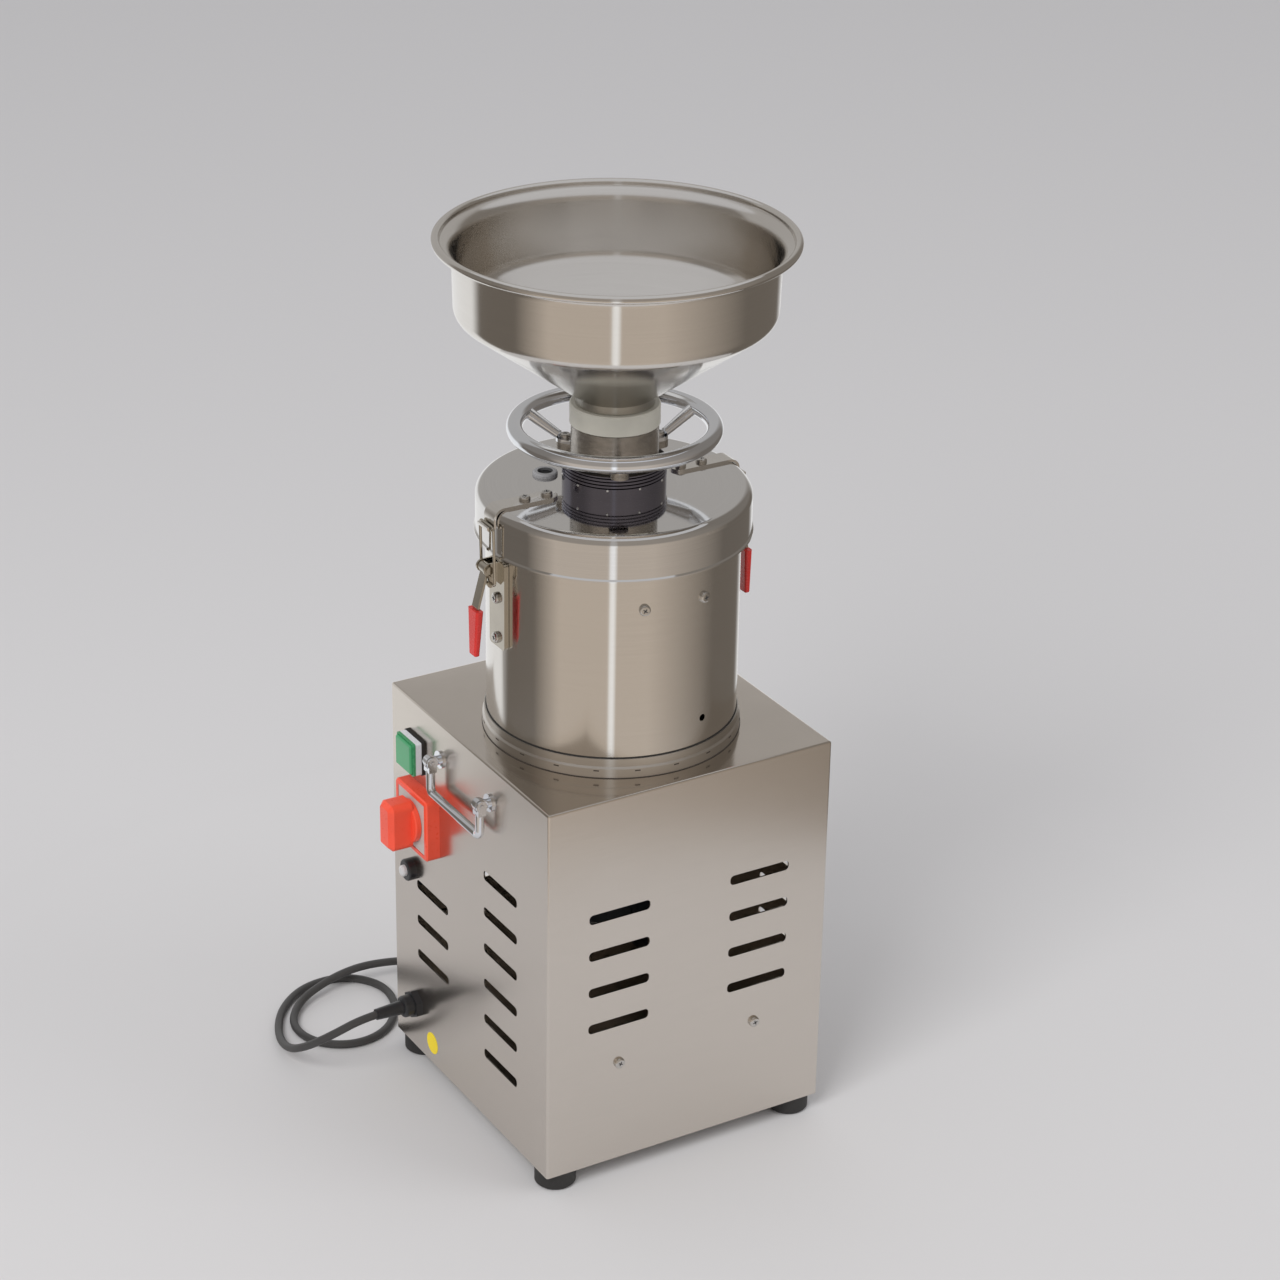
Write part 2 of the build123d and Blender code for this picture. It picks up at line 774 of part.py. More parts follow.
def latch_bracket():
    """A plate on the barrel, at +X, with two ears that carry the lever's pin."""
    half = bracket_width / 2
    plate = block(bracket_back - 1, bracket_face, -half, half, bracket_bottom, bracket_top)
    plate = fillet(plate.edges().filter_by(Axis.X), 3)
    plate -= rod(bracket_back, bracket_bottom - 1, bracket_top + 1)
    for z in bracket_screw_heights():
        plate -= rod_x(screw_shank + screw_gap, bracket_back - 5, bracket_face + 1, 0, z)
    for y in (-ear_gap / 2 - ear_thickness, ear_gap / 2):
        plate += ear(y)
    half_pin = ear_gap / 2 + ear_thickness + 1
    return plate - rod_y(latch_pin_radius + running_gap, latch_pivot_x, -half_pin, half_pin, latch_pivot_z)


def latch_pin():
    """The lever's pin, with a head outside each ear."""
    half = ear_gap / 2 + ear_thickness + running_gap
    pin = rod_y(latch_pin_radius, latch_pivot_x, -half, half, latch_pivot_z)
    for side in (-1, 1):
        pin += rod_y(latch_pin_radius + latch_pin_head, latch_pivot_x, side * half,
                     side * (half + latch_pin_head_depth), latch_pivot_z)
    return pin


def lever_frame(shape):
    """Places a shape that is built about the lever pivot, with the lever along -Z, as the closed lever."""
    return Pos(latch_pivot_x, 0, latch_pivot_z) * Rot(0, -lever_lean, 0) * shape


def throw_frame(shape):
    """Places a shape that is built about the lever pivot, with the bail pivot along -Z, as the closed lever."""
    return Pos(latch_pivot_x, 0, latch_pivot_z) * Rot(0, throw_lean, 0) * shape


def tongue_frame(shape):
    """Places a shape that is built about the lever's knee, with the tongue along -Z."""
    lean = math.radians(lever_lean)
    knee = Pos(latch_pivot_x + lever_knee * math.sin(lean), 0, latch_pivot_z - lever_knee * math.cos(lean))
    return knee * Rot(0, -tongue_lean, 0) * shape


def lever_plate(width, thickness, z0, z1):
    return block(-thickness / 2, thickness / 2, -width / 2, width / 2, z0, z1)


def latch_lever():
    """A cranked lever: a bore at the pivot, one at its throw for the bail, a flat arm and a tongue."""
    width = ear_gap - 2 * fit_gap
    boss = rod_y(latch_pin_radius + lever_boss, 0, -width / 2, width / 2, 0)
    far = rod_y(bail_wire + lever_boss, 0, -width / 2, width / 2, -lever_throw)
    crank = throw_frame(boss + far + lever_plate(width, lever_crank, -lever_throw, 0))
    arm = lever_plate(width, lever_thickness, -lever_knee, 0)
    arm += rod_y(lever_thickness / 2, 0, -width / 2, width / 2, -lever_knee)
    tongue = lever_plate(tongue_width, lever_thickness, -tongue_length, 0)
    lever = crank + lever_frame(arm) + tongue_frame(tongue)
    lever -= throw_frame(rod_y(latch_pin_radius + running_gap, 0, -width, width, 0))
    return lever - throw_frame(rod_y(bail_wire + running_gap, 0, -width, width, -lever_throw))


def lever_grip():
    """A tapered moulded sleeve over the lever's tongue."""
    top = -lever_thickness
    first = Pos(0, 0, top) * RectangleRounded(grip_top_thickness, grip_top_width, grip_top_thickness * 0.35)
    last = Pos(0, 0, top - grip_length) * RectangleRounded(
        grip_end_thickness, grip_end_width, grip_end_thickness * 0.35)
    sleeve = loft([first, last])
    sleeve = fillet(sleeve.edges().group_by(Axis.Z)[0], 1.2)
    return tongue_frame(sleeve - lever_plate(tongue_width, lever_thickness, -tongue_length, 1))


def bail_pivot():
    lean = math.radians(throw_lean)
    return latch_pivot_x - lever_throw * math.sin(lean), latch_pivot_z - lever_throw * math.cos(lean)


def latch_bail():
    """A wire loop: two ends that turn in the lever, two legs and a crossbar that lies in the lid's hook."""
    x0, z0 = bail_pivot()
    x1 = (strap_back + strap_thickness + hook_radius - strap_thickness / 2) / 2
    z1 = hook_seat + bail_wire + fit_gap
    inner = ear_gap / 2 - fit_gap - bail_end_depth
    side = bail_half_width
    path = FilletPolyline((x0, -inner, z0), (x0, -side, z0), (x1, -side, z1), (x1, side, z1),
                          (x0, side, z0), (x0, inner, z0), radius=2.5 * bail_wire)
    start = Plane(origin=path @ 0, z_dir=path % 0)
    return sweep(start * Circle(bail_wire), path)


def lid_strap():
    """A strap on the lid at +X: flat on the top, over the edge, and out into a hook for the bail."""
    t = strap_thickness
    leg = strap_back + t / 2
    outline = FilletPolyline((strap_inner_radius, 0, lid_top + t / 2), (leg, 0, lid_top + t / 2),
                             (leg, 0, hook_seat - t / 2), (hook_radius, 0, hook_seat - t / 2),
                             (hook_radius, 0, hook_seat + strap_lip), radius=(lid_corner, t, 0.7 * t))
    half = strap_width / 2
    start = Plane(origin=outline @ 0, x_dir=(0, 1, 0), z_dir=outline % 0)
    strap = sweep(start * Rectangle(strap_width, t), outline)
    tip = rod(half, lid_top - 1, lid_top + 2 * t, strap_inner_radius + half, 0)
    nose = block(strap_inner_radius - 1, strap_inner_radius + half, -half, half, lid_top - 1, lid_top + 2 * t)
    strap -= nose - tip
    for radius in strap_screw_radii:
        strap -= rod(screw_shank + screw_gap, lid_top - 1, lid_top + 2 * t, radius, 0)
    return strap


def mirrored_pair(shape):
    """The piece at +X and its twin at -X."""
    return together([shape, spun(shape, 180)])


def strap_screws():
    seat = lid_top + strap_thickness
    screws = []
    for side in (0, 180):
        for radius in strap_screw_radii:
            screws.append(spun(Pos(radius, 0, seat) * pan_screw(), side))
    return together(screws)


# ---------------------------------------------------------------- lid
def lid_outline():
    """Half section of the lid's sheet: rolled hem, skirt, rounded corner and top."""
    foot = lid_top - lid_skirt
    inside = lid_radius - sheet
    corner = lid_corner * (1 - math.sqrt(0.5))
    inner = lid_corner - sheet
    lines = Polyline((neck_spigot_radius, 0, lid_inside), (neck_spigot_radius, 0, lid_top),
                     (lid_radius - lid_corner, 0, lid_top))
    lines += ThreePointArc((lid_radius - lid_corner, 0, lid_top),
                           (lid_radius - corner, 0, lid_top - corner),
                           (lid_radius, 0, lid_top - lid_corner))
    lines += Polyline((lid_radius, 0, lid_top - lid_corner), (lid_radius, 0, foot + 2 * lid_hem),
                      (lid_radius + lid_hem, 0, foot + lid_hem), (lid_radius + lid_hem, 0, foot),
                      (inside, 0, foot), (inside, 0, lid_top - lid_corner))
    bend = inner * (1 - math.sqrt(0.5))
    lines += ThreePointArc((inside, 0, lid_top - lid_corner),
                           (inside - bend, 0, lid_inside - bend),
                           (inside - inner, 0, lid_inside))
    lines += Line((inside - inner, 0, lid_inside), (neck_spigot_radius, 0, lid_inside))
    return lines


def plug_place():
    angle = math.radians(plug_angle)
    return plug_pitch_radius * math.cos(angle), plug_pitch_radius * math.sin(angle)


def lid():
    cap = revolve(make_face(lid_outline()), Axis.Z)
    x, y = plug_place()
    cap -= rod(plug_radius, lid_inside - 1, lid_top + 1, x, y)
    for side in (0, 180):
        for radius in strap_screw_radii:
            cap -= spun(rod(screw_shank + screw_gap, lid_inside - 1, lid_top + 1, radius, 0), side)
    return cap


def lid_gasket():
    rounding = gasket_thickness * 0.9
    outer = lid_radius - lid_corner + rounding
    gasket = ring(outer, outer - gasket_width, lid_inside - gasket_thickness, lid_inside)
    top = gasket.edges().filter_by(GeomType.CIRCLE).group_by(Axis.Z)[-1]
    return fillet(top.sort_by(SortBy.RADIUS)[-1:], rounding)


def lid_plug():
    """A rubber plug in the lid's flushing hole: a ring round a dished middle above, a lip below."""
    x, y = plug_place()
    stem = rod(plug_radius, lid_inside, lid_top, x, y)
    head = rod(plug_radius + plug_ring, lid_top, lid_top + plug_ring, x, y)
    head = fillet(head.edges().group_by(Axis.Z)[-1], 0.5 * plug_ring)
    dish = rod(plug_radius - 1, lid_top + 0.3 * plug_ring, lid_top + 2 * plug_ring, x, y)
    lip = rod(plug_radius + 1, lid_inside - plug_ring, lid_inside, x, y)
    return stem + head - dish + lip


def lid_neck():
    """The threaded neck that the handwheel's hub screws down in."""
    top = lid_top + neck_collar_height + neck_thread_height
    neck = turned((neck_bore, neck_spigot_bottom), (neck_spigot_radius, neck_spigot_bottom),
                  (neck_spigot_radius, lid_top), (neck_radius, lid_top),
                  (neck_radius, top), (neck_bore, top))
    step = neck_thread_height / neck_thread_turns
    for k in range(neck_thread_turns):
        z = lid_top + neck_collar_height + k * step
        half = step * 0.32
        neck -= turned((neck_radius - neck_thread_depth, z + step / 2), (neck_radius + 1, z + step / 2 - half),
                       (neck_radius + 1, z + step / 2 + half))
    return neck


# ---------------------------------------------------------------- stones and what carries them
def grooves(z0, z1):
    """Cutters for the dressing of a stone: leaning furrows from the eye to the rim."""
    cutters = []
    for k in range(groove_count):
        bar = block(0, 2 * stone_radius, -groove_width / 2, groove_width / 2, z0, z1)
        cutters.append(spun(Pos(stone_eye - 2, 0, 0) * Rot(0, 0, groove_lean) * bar, k * 360 / groove_count))
    return cutters


def lower_stone():
    z = lower_stone_top
    stone = turned((rotor_hub_radius, disc_top), (stone_radius, disc_top), (stone_radius, z),
                   (stone_eye + 8, z), (rotor_hub_radius, z - 6))
    return stone - grooves(z - groove_depth, z + 1)


def upper_stone():
    z = upper_stone_bottom
    stone = turned((stone_eye, z + 6), (stone_eye + 8, z), (stone_radius, z),
                   (stone_radius, carrier_bottom), (stone_eye, carrier_bottom))
    return stone - [Rot(0, 0, 15) * mirror(cut, Plane.XZ) for cut in grooves(z - 1, z + groove_depth)]


def rotor_disc():
    disc = rod(stone_radius + 1, disc_bottom, disc_top) + rod(rotor_hub_radius, rotor_hub_bottom, disc_bottom)
    return disc - rod(shaft_radius, rotor_hub_bottom - 1, disc_top + 1)


def rotor_nut():
    body = hexagon(nut_across, disc_top, disc_top + nut_height)
    cap = rod(nut_cap_radius + 2, disc_top + nut_height, disc_top + nut_height + 6)
    cap = fillet(cap.edges().group_by(Axis.Z)[-1], 5)
    return body + cap - rod(shaft_radius, disc_top - 1, disc_top + nut_height)


def scraper():
    """Two arms under the rotor that sweep the butter round to the spout."""
    z1 = rotor_hub_bottom
    sweep_bottom = barrel_bottom + mill_floor + bolt_head_height + scraper_floor_gap
    body = rod(rotor_hub_radius, scraper_bottom, z1)
    for side in (0, 180):
        arm = block(shaft_radius + 1, scraper_reach, -scraper_arm_width / 2, scraper_arm_width / 2,
                    scraper_bottom + 2, z1)
        blade = block(mill_boss_radius + 8, scraper_reach, -1.5, 1.5, sweep_bottom, z1)
        body += spun(arm + blade, side)
    return body - rod(shaft_radius, scraper_bottom - 1, z1 + 1)


def stone_carrier():
    """Disc that holds the upper stone, with a boss for the feed tube."""
    return turned((tube_radius, carrier_bottom), (stone_radius + 2, carrier_bottom),
                  (stone_radius + 2, carrier_disc_top), (carrier_boss_radius + 4, carrier_disc_top),
                  (carrier_boss_radius - 4, carrier_boss_top), (tube_radius, carrier_boss_top))


def feed_tube():
    """Steel tube from the carrier up through the handwheel's hub to the collar."""
    return ring(tube_radius, carrier_tube_bore, carrier_bottom, collar_top - collar_lip)


# ---------------------------------------------------------------- handwheel
def handwheel_hub():
    """Threaded sleeve in the neck, with three lugs above it for the spokes."""
    hub = ring(hub_radius, hub_bore, hub_bottom, hub_top)
    hub = chamfer(hub.edges().filter_by(GeomType.CIRCLE).group_by(Axis.Z)[-1].sort_by(SortBy.RADIUS)[-1:], 0.8)
    for k in range(spoke_count):
        lug = block(hub_radius - 1, lug_reach - lug_width / 2, -lug_width / 2, lug_width / 2,
                    lug_z, lug_z + lug_thickness)
        lug += rod(lug_width / 2, lug_z, lug_z + lug_thickness, lug_reach - lug_width / 2, 0)
        lug -= rod(screw_shank + screw_gap, lug_z - 1, lug_z + 10, lug_reach - lug_width / 2, 0)
        hub += spun(lug, spoke_angle + k * 360 / spoke_count)
    return hub


def handwheel_rim():
    return Pos(0, 0, wheel_z) * Torus(wheel_radius, wheel_section)


def spoke():
    """A rod that widens to the rim, with a flattened, drilled end on the hub's lug."""
    seat = lug_z + lug_thickness
    screw_x = lug_reach - lug_width / 2
    tab = block(hub_radius + fit_gap, screw_x, -lug_width / 2, lug_width / 2, seat, seat + spoke_tab_thickness)
    tab += rod(lug_width / 2, seat, seat + spoke_tab_thickness, screw_x, 0)
    tab -= rod(hub_radius + fit_gap, seat - 1, seat + 10)
    root = Vector(screw_x + screw_head_radius + 1, 0, seat + spoke_root_radius)
    end = Vector(wheel_radius, 0, wheel_z)
    along = Plane(origin=root, z_dir=end - root)
    bar = along * Cone(spoke_root_radius, spoke_end_radius, (end - root).length,
                       align=(Align.CENTER, Align.CENTER, Align.MIN))
    bar -= block(0, wheel_radius, -lug_width, lug_width, seat - lug_thickness, seat)
    arm = tab + bar - rod(screw_shank + screw_gap, seat - 1, seat + spoke_tab_thickness + 1, screw_x, 0)
    arm -= rod(screw_head_radius + fit_gap, seat + spoke_tab_thickness, seat + 20, screw_x, 0)
    return arm - handwheel_rim()


def on_spokes(shape):
    return together(spun(shape, spoke_angle + k * 360 / spoke_count) for k in range(spoke_count))


def spoke_screw():
    grip = lug_thickness + spoke_tab_thickness
    return Pos(lug_reach - lug_width / 2, 0, lug_z + grip) * pan_screw(grip)


# ---------------------------------------------------------------- collar and hopper
def nylon_collar():
    """Cream collar on the feed tube, between the hub and the hopper, with a lip over the tube's end."""
    lip = collar_top - collar_lip
    body = turned((tube_radius, collar_bottom), (collar_radius, collar_bottom),
                  (collar_radius, collar_top), (carrier_tube_bore, collar_top),
                  (carrier_tube_bore, lip), (tube_radius, lip))
    edges = body.edges().filter_by(GeomType.CIRCLE).group_by(Axis.Z)[-1].sort_by(SortBy.RADIUS)[-1:]
    return chamfer(edges, 1.0)


def hopper_tube():
    """Spigot that drops into the feed tube, with the ferrule that stands on the collar."""
    return turned((throat_radius, ferrule_bottom - spigot_depth), (spigot_radius, ferrule_bottom - spigot_depth),
                  (spigot_radius, ferrule_bottom), (ferrule_radius, ferrule_bottom),
                  (ferrule_radius, cone_bottom), (throat_radius, cone_bottom))


def hopper():
    """Spun bowl welded to its tube: cone, upright wall and a flared rim with a rolled bead."""
    t = hopper_sheet
    cone_top = cone_bottom + hopper_cone_height
    wall_top = cone_top + hopper_wall_height
    top_radius = hopper_wall_radius + hopper_wall_lean
    flare_radius = hopper_rim_radius - hopper_bead - hopper_bead / 2
    flare_top = wall_top + hopper_flare_rise
    slope = math.atan2(hopper_cone_height, hopper_wall_radius - ferrule_radius)
    inset = t * math.tan(slope / 2) + t * 0.4
    mouth = throat_radius + t
    outline = Polyline(
        (mouth, 0, cone_bottom), (ferrule_radius, 0, cone_bottom),
        (hopper_wall_radius, 0, cone_top), (top_radius, 0, wall_top), (flare_radius, 0, flare_top),
        (flare_radius - t, 0, flare_top + t), (top_radius - t, 0, wall_top + t / 2),
        (hopper_wall_radius - t, 0, cone_top + inset), (ferrule_radius, 0, cone_bottom + t / math.cos(slope)),
        (mouth, 0, cone_bottom + t), close=True)
    face = make_face(outline)
    at_corner = [v for v in face.vertices()
                 if v.X > hopper_wall_radius - 2 * t and abs(v.Z - cone_top) < 3 * t]
    outer = [v for v in at_corner if v.X > hopper_wall_radius - t / 2]
    inner = [v for v in at_corner if v.X <= hopper_wall_radius - t / 2]
    face = fillet(outer, hopper_corner)
    face = fillet([v for v in face.vertices() if any((v.center() - w.center()).length < 0.01 for w in inner)],
                  hopper_corner - t)
    bowl = revolve(face, Axis.Z)
    bead_radius = hopper_rim_radius - hopper_bead
    return bowl + Pos(0, 0, flare_top + t / 2) * Torus(bead_radius, hopper_bead)


# ---------------------------------------------------------------- control panel
def switch_frame():
    """Square moulded surround of the rotary switch, with a raised rim round the label plate."""
    half = switch_size / 2
    frame = block(-half, half, -half, half, 0, switch_depth)
    frame = fillet(frame.edges().filter_by(Axis.Z), switch_corner)
    frame = chamfer(frame.edges().group_by(Axis.Z)[-1], 1.2)
    pocket = half - switch_rim
    frame -= block(-pocket, pocket, -pocket, pocket, switch_depth - switch_recess, switch_depth + 1)
    frame -= rod(spindle_radius + 1, -1, switch_depth + 1)
    return on_panel(frame, switch_y, switch_drop)


def switch_plate():
    half = switch_size / 2 - switch_rim - 0.2
    z0 = switch_depth - switch_recess
    plate = block(-half, half, -half, half, z0, z0 + label_thickness) - rod(spindle_radius + 1, z0 - 1, z0 + 5)
    return on_panel(plate, switch_y, switch_drop)


def switch_knob():
    """Wing knob on its spindle, which reaches through the panel into the switch."""
    z0 = switch_depth - switch_recess + label_thickness + fit_gap
    z1 = z0 + knob_base_depth
    base = rod(knob_base_radius, z0, z1)
    base = fillet(base.edges().group_by(Axis.Z)[-1], 1.5)
    half_length, half_width = knob_wing_length / 2, knob_wing_width / 2
    wing = block(-half_length, half_length, -half_width, half_width, z1 - 1, z1 + knob_wing_depth)
    wing = fillet(wing.edges().filter_by(Axis.Z), knob_wing_corner)
    wing = chamfer(wing.edges().group_by(Axis.Z)[-1], knob_wing_bevel)
    stem = rod(spindle_radius, -sheet - switch_body_depth * 0.6, z0 + 1)
    return on_panel(base + wing + stem, switch_y, switch_drop)


def switch_body():
    """Contact block behind the panel."""
    half = switch_body_size / 2
    z1 = -sheet
    body = block(-half, half, -half, half, z1 - switch_body_depth, z1)
    body -= rod(spindle_radius + running_gap, z1 - switch_body_depth * 0.7, z1 + 1)
    for side in (-1, 1):
        body += block(side * half, side * (half + 5), -12, 12, z1 - switch_body_depth + 6, z1 - 14)
    return on_panel(body, switch_y, switch_drop)


def start_bezel():
    """White square bezel with its barrel through the panel; the cap slides in its square well."""
    half = bezel_size / 2
    well = button_size / 2 + fit_gap
    z1 = button_gasket + bezel_depth
    bezel = block(-half, half, -half, half, button_gasket, z1)
    bezel = fillet(bezel.edges().filter_by(Axis.Z), 1.5)
    bezel -= block(-well, well, -well, well, button_gasket + 2, z1 + 1)
    bezel += rod(button_barrel, -sheet - button_barrel_depth, button_gasket + 2)
    bezel -= rod(6 + fit_gap, -sheet - 12, z1)
    return on_panel(bezel, button_y, button_drop)


def start_gasket():
    half = bezel_size / 2 + 0.8
    gasket = block(-half, half, -half, half, 0, button_gasket)
    gasket = fillet(gasket.edges().filter_by(Axis.Z), 2)
    return on_panel(gasket - rod(button_barrel, -1, button_gasket + 1), button_y, button_drop)


def start_button():
    """Green cap with a bevelled face and the plunger behind it."""
    half = button_size / 2
    z0 = button_gasket + 2 + button_travel + fit_gap
    cap = block(-half, half, -half, half, z0, button_stand)
    cap = fillet(cap.edges().filter_by(Axis.Z), 1.5)
    cap = chamfer(cap.edges().group_by(Axis.Z)[-1], 1.2)
    cap += rod(6, z0 - 10, z0 + 1)
    return on_panel(cap, button_y, button_drop)


def breaker_body():
    """Overload breaker behind the panel, held by a round nut in front of it."""
    half = breaker_body_size / 2
    body = block(-half, half, -half * 0.6, half * 0.6, -sheet - breaker_body_depth, -sheet)
    body += rod(breaker_neck, -sheet - 1, 1)
    nut = rod(breaker_nut_radius, 0, breaker_nut_depth)
    body += fillet(nut.edges().group_by(Axis.Z)[-1], 1.5)
    body -= rod(breaker_button_radius + running_gap, -10, breaker_nut_depth + 1)
    return on_panel(body, breaker_y, breaker_drop)


def reset_button():
    cap = rod(breaker_button_radius, -10 + breaker_travel + fit_gap, breaker_button_stand)
    cap = fillet(cap.edges().group_by(Axis.Z)[-1], 2.5)
    return on_panel(cap, breaker_y, breaker_drop)


# ---------------------------------------------------------------- carry handle
def handle_post():
    """Post out of the panel: nut inside, foot outside, rod, and an eye with its pin."""
    foot = rod_x(handle_foot_radius, panel_x - handle_foot_depth, panel_x, 0, 0)
    bar = rod_x(handle_rod, handle_pivot_x + handle_eye_radius - 1, panel_x + sheet + 8, 0, 0)
    nut = rod_x(handle_foot_radius, panel_x + sheet, panel_x + sheet + 6, 0, 0)
    half = handle_eye_width / 2
    eye = rod_y(handle_eye_radius, handle_pivot_x, -half, half, 0)
    neck = block(handle_pivot_x, handle_pivot_x + handle_eye_radius + 2, -half, half,
                 1 - handle_rod, handle_rod - 1)
    reach = half + handle_clevis_wall + 0.8
    pin = rod_y(handle_pin, handle_pivot_x, -reach, reach, 0)
    slot = rod_y(handle_eye_radius + fit_gap, handle_pivot_x, -20, 20, 0) - rod_y(
        handle_eye_radius + fit_gap, handle_pivot_x, -half, half, 0)
    return foot + (bar - slot) + nut + eye + neck + pin


def handle_posts():
    y = housing_offset_y + handle_y
    return together(Pos(0, y + side * handle_span / 2, handle_z) * handle_post() for side in (-1, 1))


def clevis():
    """Fork at the top of a handle leg, about the pivot."""
    half = handle_eye_width / 2 + fit_gap
    reach = handle_eye_width / 2 + handle_clevis_wall
    radius = handle_eye_radius - 0.7
    stem = handle_rod - 0.5
    fork = rod_y(radius, 0, -reach, reach, 0) + block(-stem, stem, -reach, reach, -handle_eye_radius - 3, 0)
    fork -= rod_y(handle_eye_radius + fit_gap, 0, -half, half, 0)
    return fork - rod_y(handle_pin + running_gap, 0, -20, 20, 0)


def carry_handle():
    """Swing handle: a bent rod between two forks, hanging from the posts."""
    half = handle_span / 2
    top = -handle_eye_radius - 2
    path = FilletPolyline((0, -half, top), (0, -half, -handle_leg), (0, half, -handle_leg), (0, half, top),
                          radius=5)
    start = Plane(origin=path @ 0, z_dir=path % 0)
    handle = sweep(start * Circle(handle_rod - 0.2), path)
    for side in (-1, 1):
        handle += Pos(0, side * half, 0) * clevis()
    return Pos(handle_pivot_x, housing_offset_y + handle_y, handle_z) * handle


# ---------------------------------------------------------------- cable gland, cord and plug
def cable_gland():
    """Nut, dome and tapered bend relief outside the panel, and a lock nut inside it."""
    gland = hexagon(gland_hex, 0, gland_hex_depth)
    dome = rod(gland_dome_radius, gland_hex_depth, gland_hex_depth + gland_dome_depth)
    gland += fillet(dome.edges().group_by(Axis.Z)[-1], 2.5)
    z0 = gland_hex_depth + gland_dome_depth
    gland += Pos(0, 0, z0 + relief_length / 2) * Cone(relief_radius, relief_tip_radius, relief_length)
    gland += rod(gland_thread, -sheet - gland_nut_depth - 3, 1)
    gland += hexagon(gland_hex, -sheet - gland_nut_depth, -sheet)
    gland -= rod(cord_diameter / 2 + cord_bore_gap, -30, z0 + relief_length + 1)
    return on_panel(gland, gland_y, housing_top - gland_z)


def turn_radii(points):
    """One radius for each corner of a cord's route: 0.45 of the shorter run over tan(half the turn)."""
    radii = []
    for a, b, c in zip(points, points[1:], points[2:]):
        before = Vector(*b) - Vector(*a)
        after = Vector(*c) - Vector(*b)
        half_turn = math.radians(before.get_angle(after)) / 2
        radii.append(0.45 * min(before.length, after.length) / math.tan(half_turn))
    return radii


def cord_tube(points, name):
    """A tube of the cord's diameter along straight runs joined by tangent arcs."""
    radii = turn_radii(points)
    path = FilletPolyline(*points, radius=radii)
    start = Plane(origin=path @ 0, z_dir=path % 0)
    tube = sweep(start * Circle(cord_diameter / 2), path)
    expected = math.pi * cord_diameter ** 2 / 4 * path.length
    print(name, "length", round(path.length), "smallest radius", round(min(radii), 1),
          "volume share", round(tube.volume / expected, 4))
    return tube


def coil_height():
    return coil_layers * cord_diameter


def power_cord():
    """From inside the gland to the coil, and the short lead from the top of the coil to the plug."""
    inside = (relief_tip_x + 11, housing_offset_y + gland_y, gland_z)
    x, y = coil_centre
    onto_coil = (x + 2, y + coil_mean_radius + 5, cord_floor)
    main = cord_tube([inside] + cord_route + [onto_coil], "cord")
    tail_x = plug_face_x - plug_body_length - plug_tail_length
    lead = [(x + 6, y + coil_mean_radius + 5, lead_height), (x + 34, plug_y + 2, lead_height + 1),
            (tail_x - 9, plug_y, plug_body_radius),
            (tail_x + plug_tail_length / 2, plug_y, plug_body_radius)]
    return together([main, cord_tube(lead, "plug lead")])


def cord_coil():
    inner = coil_mean_radius - coil_layers * cord_diameter / 2
    outer = coil_mean_radius + coil_layers * cord_diameter / 2
    x, y = coil_centre
    return Pos(x, y, 0) * ring(outer, inner, 0, coil_height())


def plug_body():
    """Moulded plug lying on its side, with a tapered tail towards the coil."""
    x1 = plug_face_x
    x0 = x1 - plug_body_length
    body = rod_x(plug_body_radius, x0, x1, plug_y, plug_body_radius)
    body = fillet(body.edges().group_by(Axis.X)[0], 5)
    tail = Pos(x0 - plug_tail_length / 2, plug_y, plug_body_radius) * Rot(0, -90, 0) * Cone(
        plug_tail_radius + 2, plug_tail_radius - 1, plug_tail_length)
    return body + tail - rod_x(cord_diameter / 2 + cord_bore_gap, x0 - 2 * plug_tail_length,
                               x0 - plug_tail_length / 2, plug_y, plug_body_radius)


def plug_pins():
    pins = []
    for side in (-1, 1):
        pin = rod_x(pin_radius, plug_face_x, plug_face_x + pin_length, plug_y + side * pin_spacing / 2,
                    plug_body_radius)
        pins.append(fillet(pin.edges().group_by(Axis.X)[-1], 1.5))
    return together(pins)


